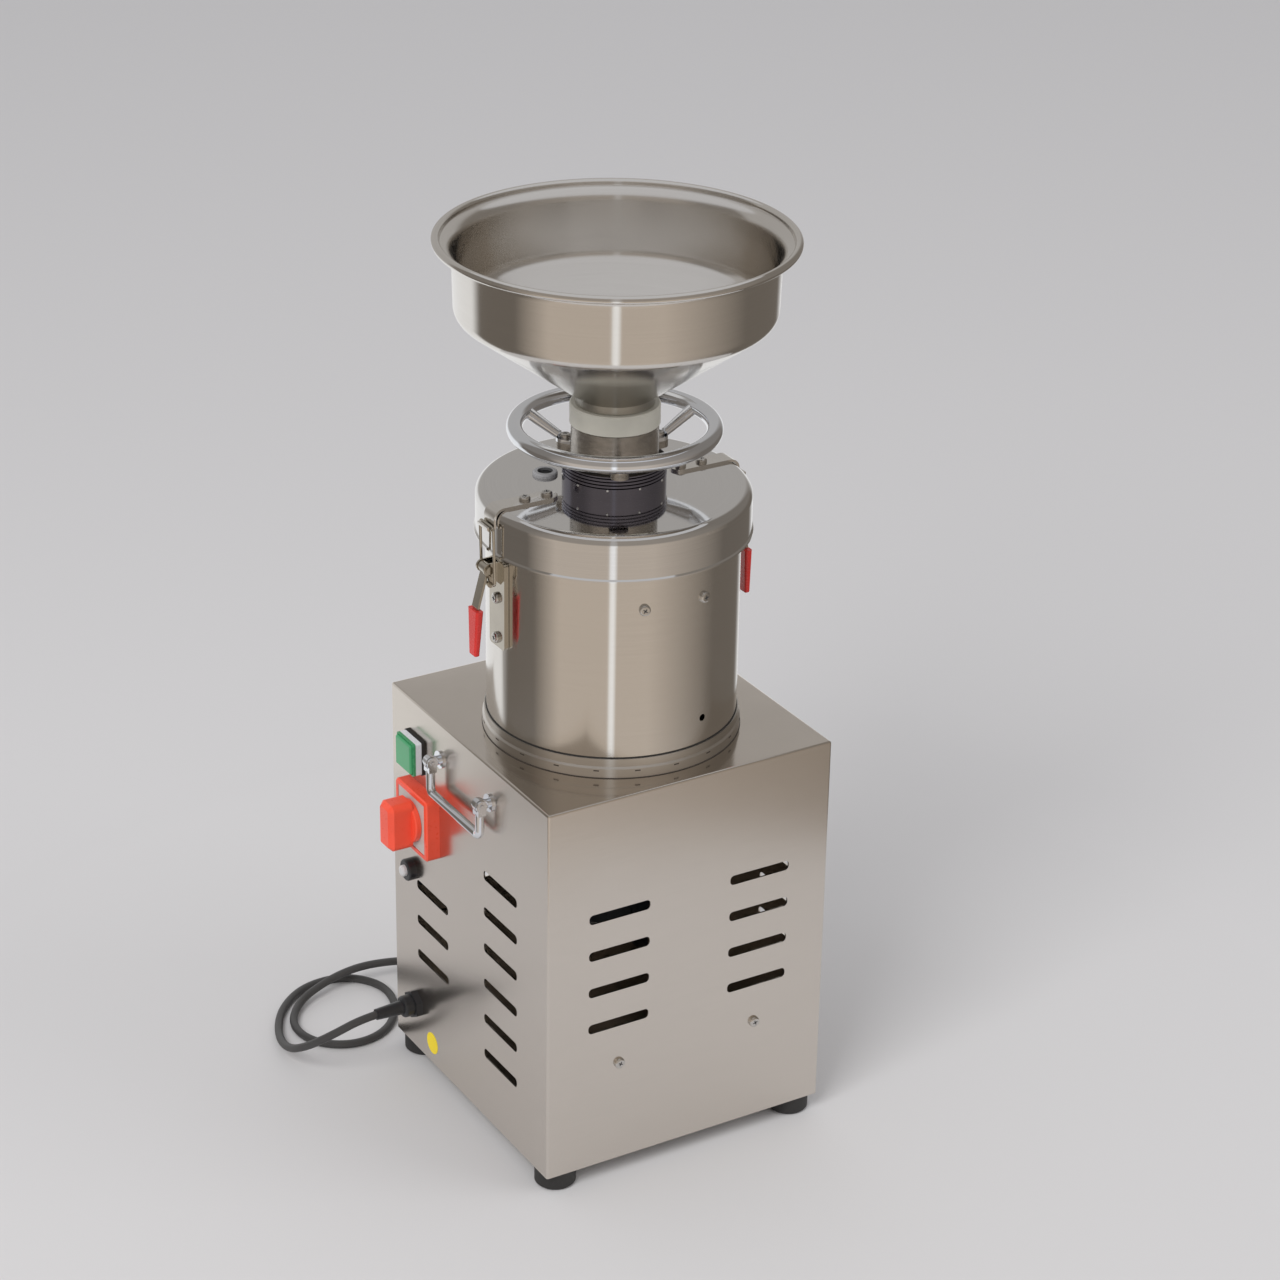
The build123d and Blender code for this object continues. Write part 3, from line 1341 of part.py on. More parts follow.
# ---------------------------------------------------------------- the nodes
NODES = {
    "housing_cover": housing_cover,
    "base_tray": base_tray,
    "rubber_feet": rubber_feet,
    "motor_stator": motor_stator,
    "motor_end_covers": motor_end_covers,
    "shaft_bearings": shaft_bearings,
    "motor_rotor": motor_rotor,
    "motor_shaft": motor_shaft,
    "motor_fan": motor_fan,
    "mill_bolts": mill_bolts,
    "barrel_base_ring": barrel_base_ring,
    "mill_base": mill_base,
    "shaft_seal": shaft_seal,
    "barrel": barrel,
    "pan_screws": pan_screws,
    "discharge_spout": discharge_spout,
    "latch_brackets": lambda: mirrored_pair(latch_bracket()),
    "latch_pins": lambda: mirrored_pair(latch_pin()),
    "right_latch_lever": latch_lever,
    "right_latch_grip": lever_grip,
    "right_latch_bail": latch_bail,
    "left_latch_lever": lambda: spun(latch_lever(), 180),
    "left_latch_grip": lambda: spun(lever_grip(), 180),
    "left_latch_bail": lambda: spun(latch_bail(), 180),
    "lid": lid,
    "lid_gasket": lid_gasket,
    "lid_plug": lid_plug,
    "lid_straps": lambda: mirrored_pair(lid_strap()),
    "strap_screws": strap_screws,
    "lid_neck": lid_neck,
    "stone_carrier": stone_carrier,
    "feed_tube": feed_tube,
    "upper_stone": upper_stone,
    "lower_stone": lower_stone,
    "rotor_disc": rotor_disc,
    "rotor_nut": rotor_nut,
    "scraper": scraper,
    "handwheel_hub": handwheel_hub,
    "handwheel_rim": handwheel_rim,
    "handwheel_spokes": lambda: on_spokes(spoke()),
    "spoke_screws": lambda: on_spokes(spoke_screw()),
    "nylon_collar": nylon_collar,
    "hopper_tube": hopper_tube,
    "hopper": hopper,
    "switch_frame": switch_frame,
    "switch_plate": switch_plate,
    "switch_knob": switch_knob,
    "switch_body": switch_body,
    "start_bezel": start_bezel,
    "start_gasket": start_gasket,
    "start_button": start_button,
    "breaker_body": breaker_body,
    "reset_button": reset_button,
    "handle_posts": handle_posts,
    "carry_handle": carry_handle,
    "cable_gland": cable_gland,
    "power_cord": power_cord,
    "cord_coil": cord_coil,
    "plug_body": plug_body,
    "plug_pins": plug_pins,
}

os.makedirs("parts", exist_ok=True)
for node, make in NODES.items():
    export_step(make(), f"parts/{node}.step")
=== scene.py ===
import json
import math

import bmesh
import bpy
from mathutils import Matrix, Vector


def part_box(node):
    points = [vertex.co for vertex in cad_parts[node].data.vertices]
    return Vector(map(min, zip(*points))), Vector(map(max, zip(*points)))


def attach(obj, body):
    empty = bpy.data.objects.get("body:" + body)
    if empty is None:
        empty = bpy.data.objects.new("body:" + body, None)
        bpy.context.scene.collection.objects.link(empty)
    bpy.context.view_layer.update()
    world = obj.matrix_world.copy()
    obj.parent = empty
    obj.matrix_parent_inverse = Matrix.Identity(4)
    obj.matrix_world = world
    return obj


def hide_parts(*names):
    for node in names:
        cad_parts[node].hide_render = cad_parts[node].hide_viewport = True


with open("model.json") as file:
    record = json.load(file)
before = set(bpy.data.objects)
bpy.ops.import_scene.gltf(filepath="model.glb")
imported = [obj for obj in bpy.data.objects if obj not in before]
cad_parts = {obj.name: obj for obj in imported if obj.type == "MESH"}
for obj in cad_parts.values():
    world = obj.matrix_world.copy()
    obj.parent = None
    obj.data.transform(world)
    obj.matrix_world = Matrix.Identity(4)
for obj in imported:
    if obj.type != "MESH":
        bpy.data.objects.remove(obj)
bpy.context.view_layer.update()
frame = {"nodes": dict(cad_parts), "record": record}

# The nut butter grinder's looks: the finish of every piece, small details, the mains cord, camera
# and light. Metres, in the CAD model's frame.
nodes = frame["nodes"]
scene = bpy.context.scene

# ---------------------------------------------------------------- camera
camera_place = Vector((-1.2331, -2.0934, 1.5822))
camera_azimuth = math.radians(-31.027)
camera_elevation = math.radians(25.571)
camera_roll = math.radians(0.984)
camera_lens = 94.68
camera_sensor = 36.0


def add_camera():
    side, rise = camera_azimuth, camera_elevation
    back = Vector((math.sin(side) * math.cos(rise),
                   -math.cos(side) * math.cos(rise),
                   math.sin(rise)))
    level = Vector((math.cos(side), math.sin(side), 0))
    upright = back.cross(level)
    right = math.cos(camera_roll) * level + math.sin(camera_roll) * upright
    up = math.cos(camera_roll) * upright - math.sin(camera_roll) * level
    lens = bpy.data.cameras.new("camera")
    lens.lens = camera_lens
    lens.sensor_width = camera_sensor
    camera = bpy.data.objects.new("camera", lens)
    turn = Matrix((right, up, back)).transposed().to_4x4()
    camera.matrix_world = Matrix.Translation(camera_place) @ turn
    scene.collection.objects.link(camera)
    scene.camera = camera


add_camera()


# ---------------------------------------------------------------- shader helpers
def new_material(name, colour, roughness=0.5, metallic=0.0):
    """A material with its Principled shader, ready for nodes to be added."""
    made = bpy.data.materials.new(name)
    made.use_nodes = True
    shader = made.node_tree.nodes["Principled BSDF"]
    shader.inputs["Base Color"].default_value = (*colour, 1)
    shader.inputs["Roughness"].default_value = roughness
    shader.inputs["Metallic"].default_value = metallic
    return made, shader


def add_node(made, kind, **values):
    """A shader node with its properties or its sockets' values set by name."""
    node = made.node_tree.nodes.new(kind)
    for key, value in values.items():
        if hasattr(node, key):
            setattr(node, key, value)
        else:
            node.inputs[key.replace("_", " ").title()].default_value = value
    return node


def join(made, source, target):
    made.node_tree.links.new(source, target)


def stretched(made, scale):
    """Object coordinates stretched by three factors."""
    place = add_node(made, "ShaderNodeTexCoord")
    mapping = add_node(made, "ShaderNodeMapping")
    mapping.inputs["Scale"].default_value = scale
    join(made, place.outputs["Object"], mapping.inputs["Vector"])
    return mapping.outputs["Vector"]


def place_parts(made):
    """A node whose outputs are the X, Y and Z of the object coordinates."""
    place = add_node(made, "ShaderNodeTexCoord")
    parts = add_node(made, "ShaderNodeSeparateXYZ")
    join(made, place.outputs["Object"], parts.inputs["Vector"])
    return parts


def noise(made, vector, detail):
    """Noise at unit scale: the vector sets how fine it is."""
    node = add_node(made, "ShaderNodeTexNoise", scale=1.0, detail=detail)
    join(made, vector, node.inputs["Vector"])
    return node.outputs["Fac"]


def ramp(made, factor, stops):
    """A colour ramp through (position, colour) stops."""
    node = add_node(made, "ShaderNodeValToRGB")
    elements = node.color_ramp.elements
    while len(elements) < len(stops):
        elements.new(0.5)
    for element, (position, colour) in zip(elements, stops):
        element.position = position
        element.color = (*colour, 1)
    join(made, factor, node.inputs["Fac"])
    return node.outputs["Color"]


def spread(made, factor, low, high, start=0.0, stop=1.0):
    """The factor mapped from start..stop to low..high."""
    node = add_node(made, "ShaderNodeMapRange")
    node.inputs["From Min"].default_value = start
    node.inputs["From Max"].default_value = stop
    node.inputs["To Min"].default_value = low
    node.inputs["To Max"].default_value = high
    join(made, factor, node.inputs["Value"])
    return node.outputs["Result"]


def shade(colour, factor):
    return tuple(min(1.0, c * factor) for c in colour)


def vary_colour(made, shader, factor, colour, dark, light, start=0.0, stop=1.0):
    """The shader's colour, from a darker to a lighter shade of one colour along a factor."""
    tone = ramp(made, factor, [(start, shade(colour, dark)), (stop, shade(colour, light))])
    join(made, tone, shader.inputs["Base Color"])


def vary_roughness(made, shader, factor, low, high):
    join(made, spread(made, factor, low, high), shader.inputs["Roughness"])


def bump(made, shader, height, strength, distance):
    node = add_node(made, "ShaderNodeBump")
    node.inputs["Strength"].default_value = strength
    node.inputs["Distance"].default_value = distance
    join(made, height, node.inputs["Height"])
    join(made, node.outputs["Normal"], shader.inputs["Normal"])


def round_coordinates(made, scale):
    """A vector of the distance from the spindle, the direction round it and the height, scaled."""
    parts = place_parts(made)
    flat = add_node(made, "ShaderNodeCombineXYZ")
    join(made, parts.outputs["X"], flat.inputs["X"])
    join(made, parts.outputs["Y"], flat.inputs["Y"])
    reach = add_node(made, "ShaderNodeVectorMath", operation="LENGTH")
    join(made, flat.outputs["Vector"], reach.inputs[0])
    turn = add_node(made, "ShaderNodeVectorMath", operation="NORMALIZE")
    join(made, flat.outputs["Vector"], turn.inputs[0])
    ends = add_node(made, "ShaderNodeSeparateXYZ")
    join(made, turn.outputs["Vector"], ends.inputs["Vector"])
    whole = add_node(made, "ShaderNodeCombineXYZ")
    join(made, reach.outputs["Value"], whole.inputs["X"])
    join(made, ends.outputs["X"], whole.inputs["Y"])
    join(made, parts.outputs["Z"], whole.inputs["Z"])
    mapping = add_node(made, "ShaderNodeMapping")
    mapping.inputs["Scale"].default_value = scale
    join(made, whole.outputs["Vector"], mapping.inputs["Vector"])
    return mapping.outputs["Vector"]


# ---------------------------------------------------------------- kinds of material
def brushed_sheet(name, colour, grain, roughness):
    """Satin stainless sheet: a fine grain along it and a broad, faint unevenness of gloss."""
    made, shader = new_material(name, colour, roughness, 1.0)
    fine = noise(made, stretched(made, grain), 3.0)
    broad = noise(made, stretched(made, (6, 6, 6)), 2.0)
    vary_colour(made, shader, fine, colour, 0.955, 1.045)
    vary_roughness(made, shader, broad, roughness - 0.05, roughness + 0.05)
    bump(made, shader, fine, 0.03, 0.0001)
    return made


def spun_sheet(name, colour, roughness, blur=1.0, line_depth=0.03):
    """Steel polished in a lathe: faint lines round the spindle, which draw reflections out."""
    made, shader = new_material(name, colour, roughness, 1.0)
    shader.inputs["Anisotropic"].default_value = blur
    shader.inputs["Anisotropic Rotation"].default_value = 0.25
    around = add_node(made, "ShaderNodeTangent", direction_type="RADIAL", axis="Z")
    join(made, around.outputs["Tangent"], shader.inputs["Tangent"])
    lines = noise(made, round_coordinates(made, (2200, 1.5, 2200)), 2.0)
    haze = noise(made, stretched(made, (14, 14, 14)), 3.0)
    vary_colour(made, shader, lines, colour, 0.965, 1.035, 0.2, 0.8)
    vary_roughness(made, shader, haze, roughness * 0.8, roughness * 1.2)
    bump(made, shader, lines, line_depth, 0.00005)
    return made


def turned_metal(name, colour, roughness):
    """Turned or cast metal with a slightly uneven tone."""
    made, shader = new_material(name, colour, roughness, 1.0)
    grain = noise(made, stretched(made, (180, 180, 700)), 4.0)
    vary_colour(made, shader, grain, colour, 0.85, 1.1, 0.3, 0.7)
    vary_roughness(made, shader, grain, roughness - 0.06, roughness + 0.08)
    bump(made, shader, grain, 0.08, 0.0002)
    return made


def threaded_metal(name, colour, roughness, pitch):
    """Turned metal with the fine ridges of a thread round it."""
    one_ridge = 0.31831      # the wave texture's scale for about one ridge to a unit of length
    made, shader = new_material(name, colour, roughness, 1.0)
    ridge = add_node(made, "ShaderNodeTexWave", wave_type="BANDS", bands_direction="Z",
                     wave_profile="SIN")
    join(made, stretched(made, (0, 0, 1)), ridge.inputs["Vector"])
    ridge.inputs["Scale"].default_value = one_ridge / pitch
    wear = noise(made, stretched(made, (150, 150, 400)), 3.0)
    vary_colour(made, shader, wear, colour, 0.85, 1.1, 0.3, 0.7)
    vary_roughness(made, shader, wear, roughness - 0.04, roughness + 0.08)
    bump(made, shader, ridge.outputs["Fac"], 0.35, pitch / 3)
    return made


def chrome(name, colour, roughness=0.06):
    """Bright or darkened plating with a faint unevenness of gloss."""
    made, shader = new_material(name, colour, roughness, 1.0)
    haze = noise(made, stretched(made, (60, 60, 60)), 4.0)
    vary_roughness(made, shader, haze, roughness * 0.6, roughness * 1.6)
    return made


def moulded(name, colour, roughness, texture=700, depth=0.04):
    """Moulded plastic, rubber or paper with a fine surface texture."""
    made, shader = new_material(name, colour, roughness)
    grain = noise(made, stretched(made, (texture, texture, texture)), 3.0)
    broad = noise(made, stretched(made, (40, 40, 40)), 3.0)
    vary_colour(made, shader, broad, colour, 0.94, 1.06, 0.3, 0.7)
    vary_roughness(made, shader, grain, roughness - 0.05, roughness + 0.08)
    bump(made, shader, grain, depth, 0.0002)
    return made


# ---------------------------------------------------------------- changes to a material
def blend_input(made, name, kind, factor, other):
    """Blends one of the shader's inputs from what it has to a fixed RGBA or FLOAT value."""
    target = made.node_tree.nodes["Principled BSDF"].inputs[name]
    mixed = add_node(made, "ShaderNodeMix", data_type=kind)
    join(made, factor, mixed.inputs["Factor"])
    if target.links:
        join(made, target.links[0].from_socket, mixed.inputs["A"])
    else:
        mixed.inputs["A"].default_value = target.default_value
    mixed.inputs["B"].default_value = other
    join(made, mixed.outputs["Result"], target)


def two_tone(made, axis, start, stop, colour, centre=(0, 0, 0)):
    """Blends to another colour along X or Z, or with the distance R from an upright line."""
    place = add_node(made, "ShaderNodeTexCoord")
    away = add_node(made, "ShaderNodeVectorMath", operation="SUBTRACT")
    join(made, place.outputs["Object"], away.inputs[0])
    away.inputs[1].default_value = centre
    if axis == "R":
        flat = add_node(made, "ShaderNodeVectorMath", operation="MULTIPLY")
        flat.inputs[1].default_value = (1, 1, 0)
        join(made, away.outputs["Vector"], flat.inputs[0])
        reach = add_node(made, "ShaderNodeVectorMath", operation="LENGTH")
        join(made, flat.outputs["Vector"], reach.inputs[0])
        level = reach.outputs["Value"]
    else:
        parts = add_node(made, "ShaderNodeSeparateXYZ")
        join(made, away.outputs["Vector"], parts.inputs["Vector"])
        level = parts.outputs[axis]
    blend_input(made, "Base Color", "RGBA", spread(made, level, 0, 1, start, stop), (*colour, 1))


def gloss_above(made, level, roughness, blend=0.0006):
    """Another roughness above a height, blended in over a little height below it."""
    factor = spread(made, place_parts(made).outputs["Z"], 0, 1, level - blend, level)
    blend_input(made, "Roughness", "FLOAT", factor, roughness)


# ---------------------------------------------------------------- the materials
steel = (0.74, 0.715, 0.68)
black = (0.020, 0.020, 0.022)
materials = {
    "housing_steel": brushed_sheet("housing_steel", (0.69, 0.64, 0.585), (30, 30, 1600), 0.22),
    "polished_steel": spun_sheet("polished_steel", steel, 0.12),
    "base_steel": spun_sheet("base_steel", (0.68, 0.65, 0.61), 0.30),
    "fastener_steel": turned_metal("fastener_steel", (0.62, 0.60, 0.57), 0.22),
    "shaft_steel": turned_metal("shaft_steel", (0.55, 0.55, 0.55), 0.25),
    "motor_iron": moulded("motor_iron", (0.05, 0.055, 0.06), 0.5),
    "motor_alloy": turned_metal("motor_alloy", (0.55, 0.55, 0.54), 0.45),
    "black_plastic": moulded("black_plastic", black, 0.32),
    "black_rubber": moulded("black_rubber", (0.026, 0.025, 0.024), 0.60, 500, 0.1),
    "gasket_silicone": moulded("gasket_silicone", (0.45, 0.45, 0.43), 0.5),
    "bracket_steel": chrome("bracket_steel", (0.52, 0.485, 0.42), 0.14),
    "red_sleeve": moulded("red_sleeve", (0.62, 0.030, 0.025), 0.25, 300, 0.02),
    "neck_steel": chrome("neck_steel", (0.27, 0.265, 0.325), 0.16),
    "hub_steel": threaded_metal("hub_steel", (0.52, 0.49, 0.45), 0.20, 0.0011),
    "grinding_stone": moulded("grinding_stone", (0.42, 0.40, 0.36), 0.9, 900, 0.5),
    "chrome_rod": chrome("chrome_rod", (0.81, 0.83, 0.87)),
    "cream_nylon": moulded("cream_nylon", (0.56, 0.54, 0.47), 0.38, 400, 0.02),
    "switch_red": moulded("switch_red", (0.92, 0.092, 0.045), 0.28, 500, 0.02),
    "label_grey": moulded("label_grey", (0.52, 0.49, 0.46), 0.30, 900, 0.02),
    "green_cap": moulded("green_cap", (0.060, 0.33, 0.140), 0.16, 300, 0.01),
    "white_bezel": moulded("white_bezel", (0.80, 0.82, 0.85), 0.25, 500, 0.01),
    "cord_rubber": moulded("cord_rubber", (0.052, 0.050, 0.049), 0.50, 900, 0.1),
    "pin_brass": turned_metal("pin_brass", (0.72, 0.60, 0.36), 0.2),
}
bowl_inside = spun_sheet("bowl_inside", steel, 0.17, line_depth=0.05)
tube_satin = spun_sheet("tube_satin", (0.50, 0.485, 0.44), 0.30, 0.4)
lid_mirror = spun_sheet("lid_mirror", (0.72, 0.71, 0.70), 0.06, 0.5, 0.01)
white_tip = moulded("white_tip", (0.62, 0.62, 0.62), 0.2)
yellow_paper = moulded("yellow_paper", (0.95, 0.72, 0.015), 0.45, 900, 0.02)
# Near black for the painted shade inside the screws' cross recesses.
painted_recess_shade = moulded("painted_recess_shade", (0.05, 0.05, 0.05), 0.4)
# Dark brown for the painted shadow line at the ring's foot and for the ring's tack marks.
shadow_line_and_tack_brown = moulded("shadow_line_and_tack_brown", (0.060, 0.050, 0.043), 0.5)

# The lid's plug: a black disc with a grey washer round it.
plug_rubber = moulded("plug_rubber", black, 0.45)
plug_centre = (-0.0392, 0.0406, 0.0)
plug_disc = 0.0058
washer_from = 0.0064
washer_grey = (0.42, 0.42, 0.43)
two_tone(plug_rubber, "R", plug_disc, washer_from, washer_grey, plug_centre)

# The start button's bezel: green on the front of its white rim.
bezel_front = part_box("start_bezel")[0].x
bezel_white_from = 0.0024
bezel_green_to = 0.0020
bezel_green = (0.055, 0.31, 0.13)
two_tone(materials["white_bezel"], "X", bezel_front + bezel_white_from,
         bezel_front + bezel_green_to, bezel_green)

# The neck's thread: bare crests and painted shade, near black, in the grooves.
thread_crest = 0.0407
thread_groove = 0.0400
painted_groove_shade = (0.012, 0.012, 0.014)
two_tone(materials["neck_steel"], "R", thread_crest, thread_groove, painted_groove_shade)

# The housing's top is glossier than its sides.
top_roughness = 0.13
top_margin = 0.0004
gloss_above(materials["housing_steel"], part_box("housing_cover")[1].z - top_margin, top_roughness)

# Nodes whose finish differs from the rest of their slot.
own_finish = {
    "hopper_tube": tube_satin,
    "lid": lid_mirror,
    "lid_plug": plug_rubber,
    "reset_button": white_tip,
}


def dress_nodes():
    for entry in frame["record"]["subparts"]:
        made = own_finish.get(entry["node"], materials[entry["material_slot"]])
        data = nodes[entry["node"]].data
        data.materials.clear()
        data.materials.append(made)


dress_nodes()


# ---------------------------------------------------------------- mesh helpers
def add_piece(name, mesh, finish, body, slot, *stands_for):
    """A mesh with its materials as a piece that rides a body; it may stand for CAD nodes."""
    piece = bpy.data.objects.new(name, mesh)
    scene.collection.objects.link(piece)
    for made in finish:
        mesh.materials.append(made)
    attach(piece, body)
    if stands_for:
        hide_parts(*stands_for)
    return piece


def mesh_of(name, shape):
    """The mesh of a bmesh, which is freed."""
    mesh = bpy.data.meshes.new(name)
    shape.to_mesh(mesh)
    shape.free()
    return mesh


def smooth_faces(mesh, angle=40):
    """Smooth shading, with edges sharper than the angle kept sharp."""
    shape = bmesh.new()
    shape.from_mesh(mesh)
    for face in shape.faces:
        face.smooth = True
    for edge in shape.edges:
        sharpness = edge.calc_face_angle(0)
        edge.smooth = len(edge.link_faces) == 2 and sharpness < math.radians(angle)
    shape.to_mesh(mesh)
    shape.free()


def direction(degrees, rise=0.0):
    """The direction at an angle from +X, rising by a share of its level length."""
    angle = math.radians(degrees)
    return Vector((math.cos(angle), math.sin(angle), rise))


def lathe(name, outline, count=192, inner_from=None):
    """A closed outline of (radius, height) turned round the spindle.

    Faces from the outline's point inner_from on get the second material.
    """
    points = []
    for k in range(count):
        c, s = math.cos(2 * math.pi * k / count), math.sin(2 * math.pi * k / count)
        points += [(r * c, r * s, z) for r, z in outline]
    size = len(outline)
    faces = []
    for k in range(count):
        here, there = k * size, (k + 1) % count * size
        for i in range(size):
            j = (i + 1) % size
            faces.append((here + i, there + i, there + j, here + j))
    mesh = bpy.data.meshes.new(name)
    mesh.from_pydata(points, [], faces)
    if inner_from is not None:
        for index, face in enumerate(mesh.polygons):
            face.material_index = int(index % size >= inner_from)
    smooth_faces(mesh)
    return mesh


def arc(centre, radius, start, stop, steps):
    """Points (radius, height) of an arc between two angles in degrees."""
    angles = [math.radians(start + (stop - start) * k / steps) for k in range(steps + 1)]
    return [(centre[0] + radius * math.cos(a), centre[1] + radius * math.sin(a)) for a in angles]


def bezier(a, b, c, steps):
    """Points of a quadratic curve that leaves a and reaches c along the lines to b."""
    points = []
    for k in range(steps + 1):
        t = k / steps
        shares = ((1 - t) ** 2, 2 * t * (1 - t), t ** 2)
        points.append(tuple(sum(share * v for share, v in zip(shares, values))
                            for values in zip(a, b, c)))
    return points


def bar(shape, middle, along, across, through):
    """A box about its middle, from three half-length vectors; through points out of the surface."""
    corners = ((-1, -1), (1, -1), (1, 1), (-1, 1))
    low, high = [[shape.verts.new(middle + i * along + j * across + k * through)
                  for i, j in corners] for k in (-1, 1)]
    shape.faces.new(high)
    shape.faces.new(list(reversed(low)))
    for k in range(4):
        shape.faces.new((low[k], low[(k + 1) % 4], high[(k + 1) % 4], high[k]))


def dome(shape, place, outward, radius, height, count=10):
    """A small round head: three rings, each a share of the radius and of the height, and a tip."""
    rings = ((1.0, -0.3), (1.0, 0.0), (0.72, 0.7))
    outward = outward.normalized()
    side = outward.orthogonal().normalized()
    up = outward.cross(side)
    rows = []
    for share, rise in rings:
        row = []
        for k in range(count):
            a = 2 * math.pi * k / count
            spot = place + radius * share * (math.cos(a) * side + math.sin(a) * up)
            row.append(shape.verts.new(spot + rise * height * outward))
        rows.append(row)
    tip = shape.verts.new(place + height * outward)
    for low, high in zip(rows, rows[1:]):
        for k in range(count):
            shape.faces.new((low[k], low[(k + 1) % count], high[(k + 1) % count], high[k]))
    for k in range(count):
        shape.faces.new((rows[-1][k], rows[-1][(k + 1) % count], tip))
    shape.faces.new(list(reversed(rows[0])))


# ---------------------------------------------------------------- the hopper's bowl
# Points of its outside are (radius, height).
bowl_sheet = 0.0012
bowl_bore = 0.0259                # the hole at the cone's foot
bowl_foot = 0.0310                # the cone's outside there
bowl_corner = (0.1249, 0.6984)    # where cone and wall would meet
bowl_round = 0.0060               # how far from the corner its rounding starts
bowl_lean = 0.0002                # how far the wall leans out over that length
bowl_corner_rise = 1.25           # how far the inner corner is above it, in sheets
bowl_wall_top = (0.1262, 0.7450)
bowl_flare = (0.1268, 0.7535)     # where wall and flare would meet outside
bowl_flare_inside = (0.1262, 0.7535)
bead_radius = 0.0032
bead_arc = (-125, 190)            # the rolled part of the bead, in degrees
bead_under = (0.0018, 0.0026)     # from the bead's middle in and down to the flare's outside
bead_over = (0.0004, 0.0014)      # from the bead's inner side in and down to the flare's inside
bead_inner_steps = 6              # steps of the bead that have the inside's finish
curve_steps = 8
bead_steps = 22
bowl_count = 224


def hopper_bowl():
    """The spun bowl: cone, upright wall, a flare in one sweep and the rolled bead."""
    low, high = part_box("hopper")
    foot = (bowl_foot, low.z)
    bead = (high.x - bead_radius, high.z - bead_radius)
    slope = math.atan2(bowl_corner[1] - foot[1], bowl_corner[0] - foot[0])

    def down_cone(corner):
        return (corner[0] - bowl_round * math.cos(slope), corner[1] - bowl_round * math.sin(slope))

    def up_wall(corner):
        return (corner[0] + bowl_lean, corner[1] + bowl_round)

    flare_top = (bead[0] - bead_under[0], bead[1] - bead_under[1])
    outside = [(bowl_bore, low.z), foot]
    outside += bezier(down_cone(bowl_corner), bowl_corner, up_wall(bowl_corner), curve_steps)
    outside += bezier(bowl_wall_top, bowl_flare, flare_top, curve_steps)
    rolled = arc(bead, bead_radius, *bead_arc, bead_steps)
    flare_top = (bead[0] - bead_radius - bead_over[0], bead[1] - bead_over[1])
    wall_top = (bowl_wall_top[0] - bowl_sheet, bowl_wall_top[1])
    corner = (bowl_corner[0] - bowl_sheet, bowl_corner[1] + bowl_sheet * bowl_corner_rise)
    inside = bezier(flare_top, bowl_flare_inside, wall_top, curve_steps)
    inside += bezier(up_wall(corner), corner, down_cone(corner), curve_steps)
    inside += [(foot[0], foot[1] + bowl_sheet / math.cos(slope)), (bowl_bore, low.z + bowl_sheet)]
    mesh = lathe("hopper_bowl", outside + rolled + inside, bowl_count,
                 len(outside) + len(rolled) - bead_inner_steps)
    add_piece("hopper_bowl", mesh, [materials["polished_steel"], bowl_inside], "feed_hopper",
              "polished_steel", "hopper")


hopper_bowl()


# ---------------------------------------------------------------- painted shadow lines, weld dots and sticker
barrel_radius = 0.101
# How far the painted shadow line under the barrel is sunk into the parts.
shadow_line_sunk = 0.0002


def ring_mesh(name, inner, width, foot, top, count=160):
    """A ring of rectangular section round the spindle."""
    outer = inner + width
    return lathe(name, [(inner, foot), (outer, foot), (outer, top), (inner, top)], count)


def shadow_gap_lines():
    """Dark lines of painted shadow where the barrel stands on its ring and the ring on the housing.
    """
    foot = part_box("barrel")[0].z
    mesh = ring_mesh("barrel_shadow_line", inner=barrel_radius - shadow_line_sunk, width=0.0007,
                     foot=foot - shadow_line_sunk, top=foot + 0.0009)
    add_piece("barrel_shadow_line", mesh, [materials["black_rubber"]], "base", "black_rubber")
    low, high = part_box("barrel_base_ring")
    mesh = ring_mesh("ring_shadow_line", inner=high.x - 0.0004, width=0.0009,
                     foot=low.z - 0.0001, top=low.z + 0.0005)
    add_piece("ring_shadow_line", mesh, [shadow_line_and_tack_brown], "base", "black_rubber")


def neck_dots():
    """Weld dots round the neck, where its collar ends and its thread begins."""
    count = 10
    first = -163.5
    neck_radius = 0.0408
    above_lid = 0.0098
    tilt = 0.35
    shape = bmesh.new()
    middle = Vector((0, 0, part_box("lid")[1].z + above_lid))
    for k in range(count):
        angle = first + 360 / count * k
        place = middle + neck_radius * direction(angle)
        dome(shape, place, direction(angle, tilt), radius=0.0013, height=0.0011)
    mesh = mesh_of("neck_dots", shape)
    smooth_faces(mesh)
    add_piece("neck_dots", mesh, [materials["chrome_rod"]], "lid_assembly", "neck_steel")


def ring_marks():
    """Small dark tack marks round the side of the barrel's ring."""
    count = 20
    first = -126.6
    half_length, half_height, half_depth = 0.0022, 0.0005, 0.00015
    sunk = 0.00005
    below_middle = 0.0016
    upward = Vector((0, 0, 1))
    low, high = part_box("barrel_base_ring")
    middle = Vector((0, 0, (low.z + high.z) / 2 - below_middle))
    shape = bmesh.new()
    for k in range(count):
        out = direction(first + 360 / count * k)
        bar(shape, middle + (high.x - sunk) * out, half_length * upward.cross(out),
            half_height * upward, half_depth * out)
    bmesh.ops.recalc_face_normals(shape, faces=shape.faces)
    add_piece("ring_marks", mesh_of("ring_marks", shape), [shadow_line_and_tack_brown], "base", "black_rubber")


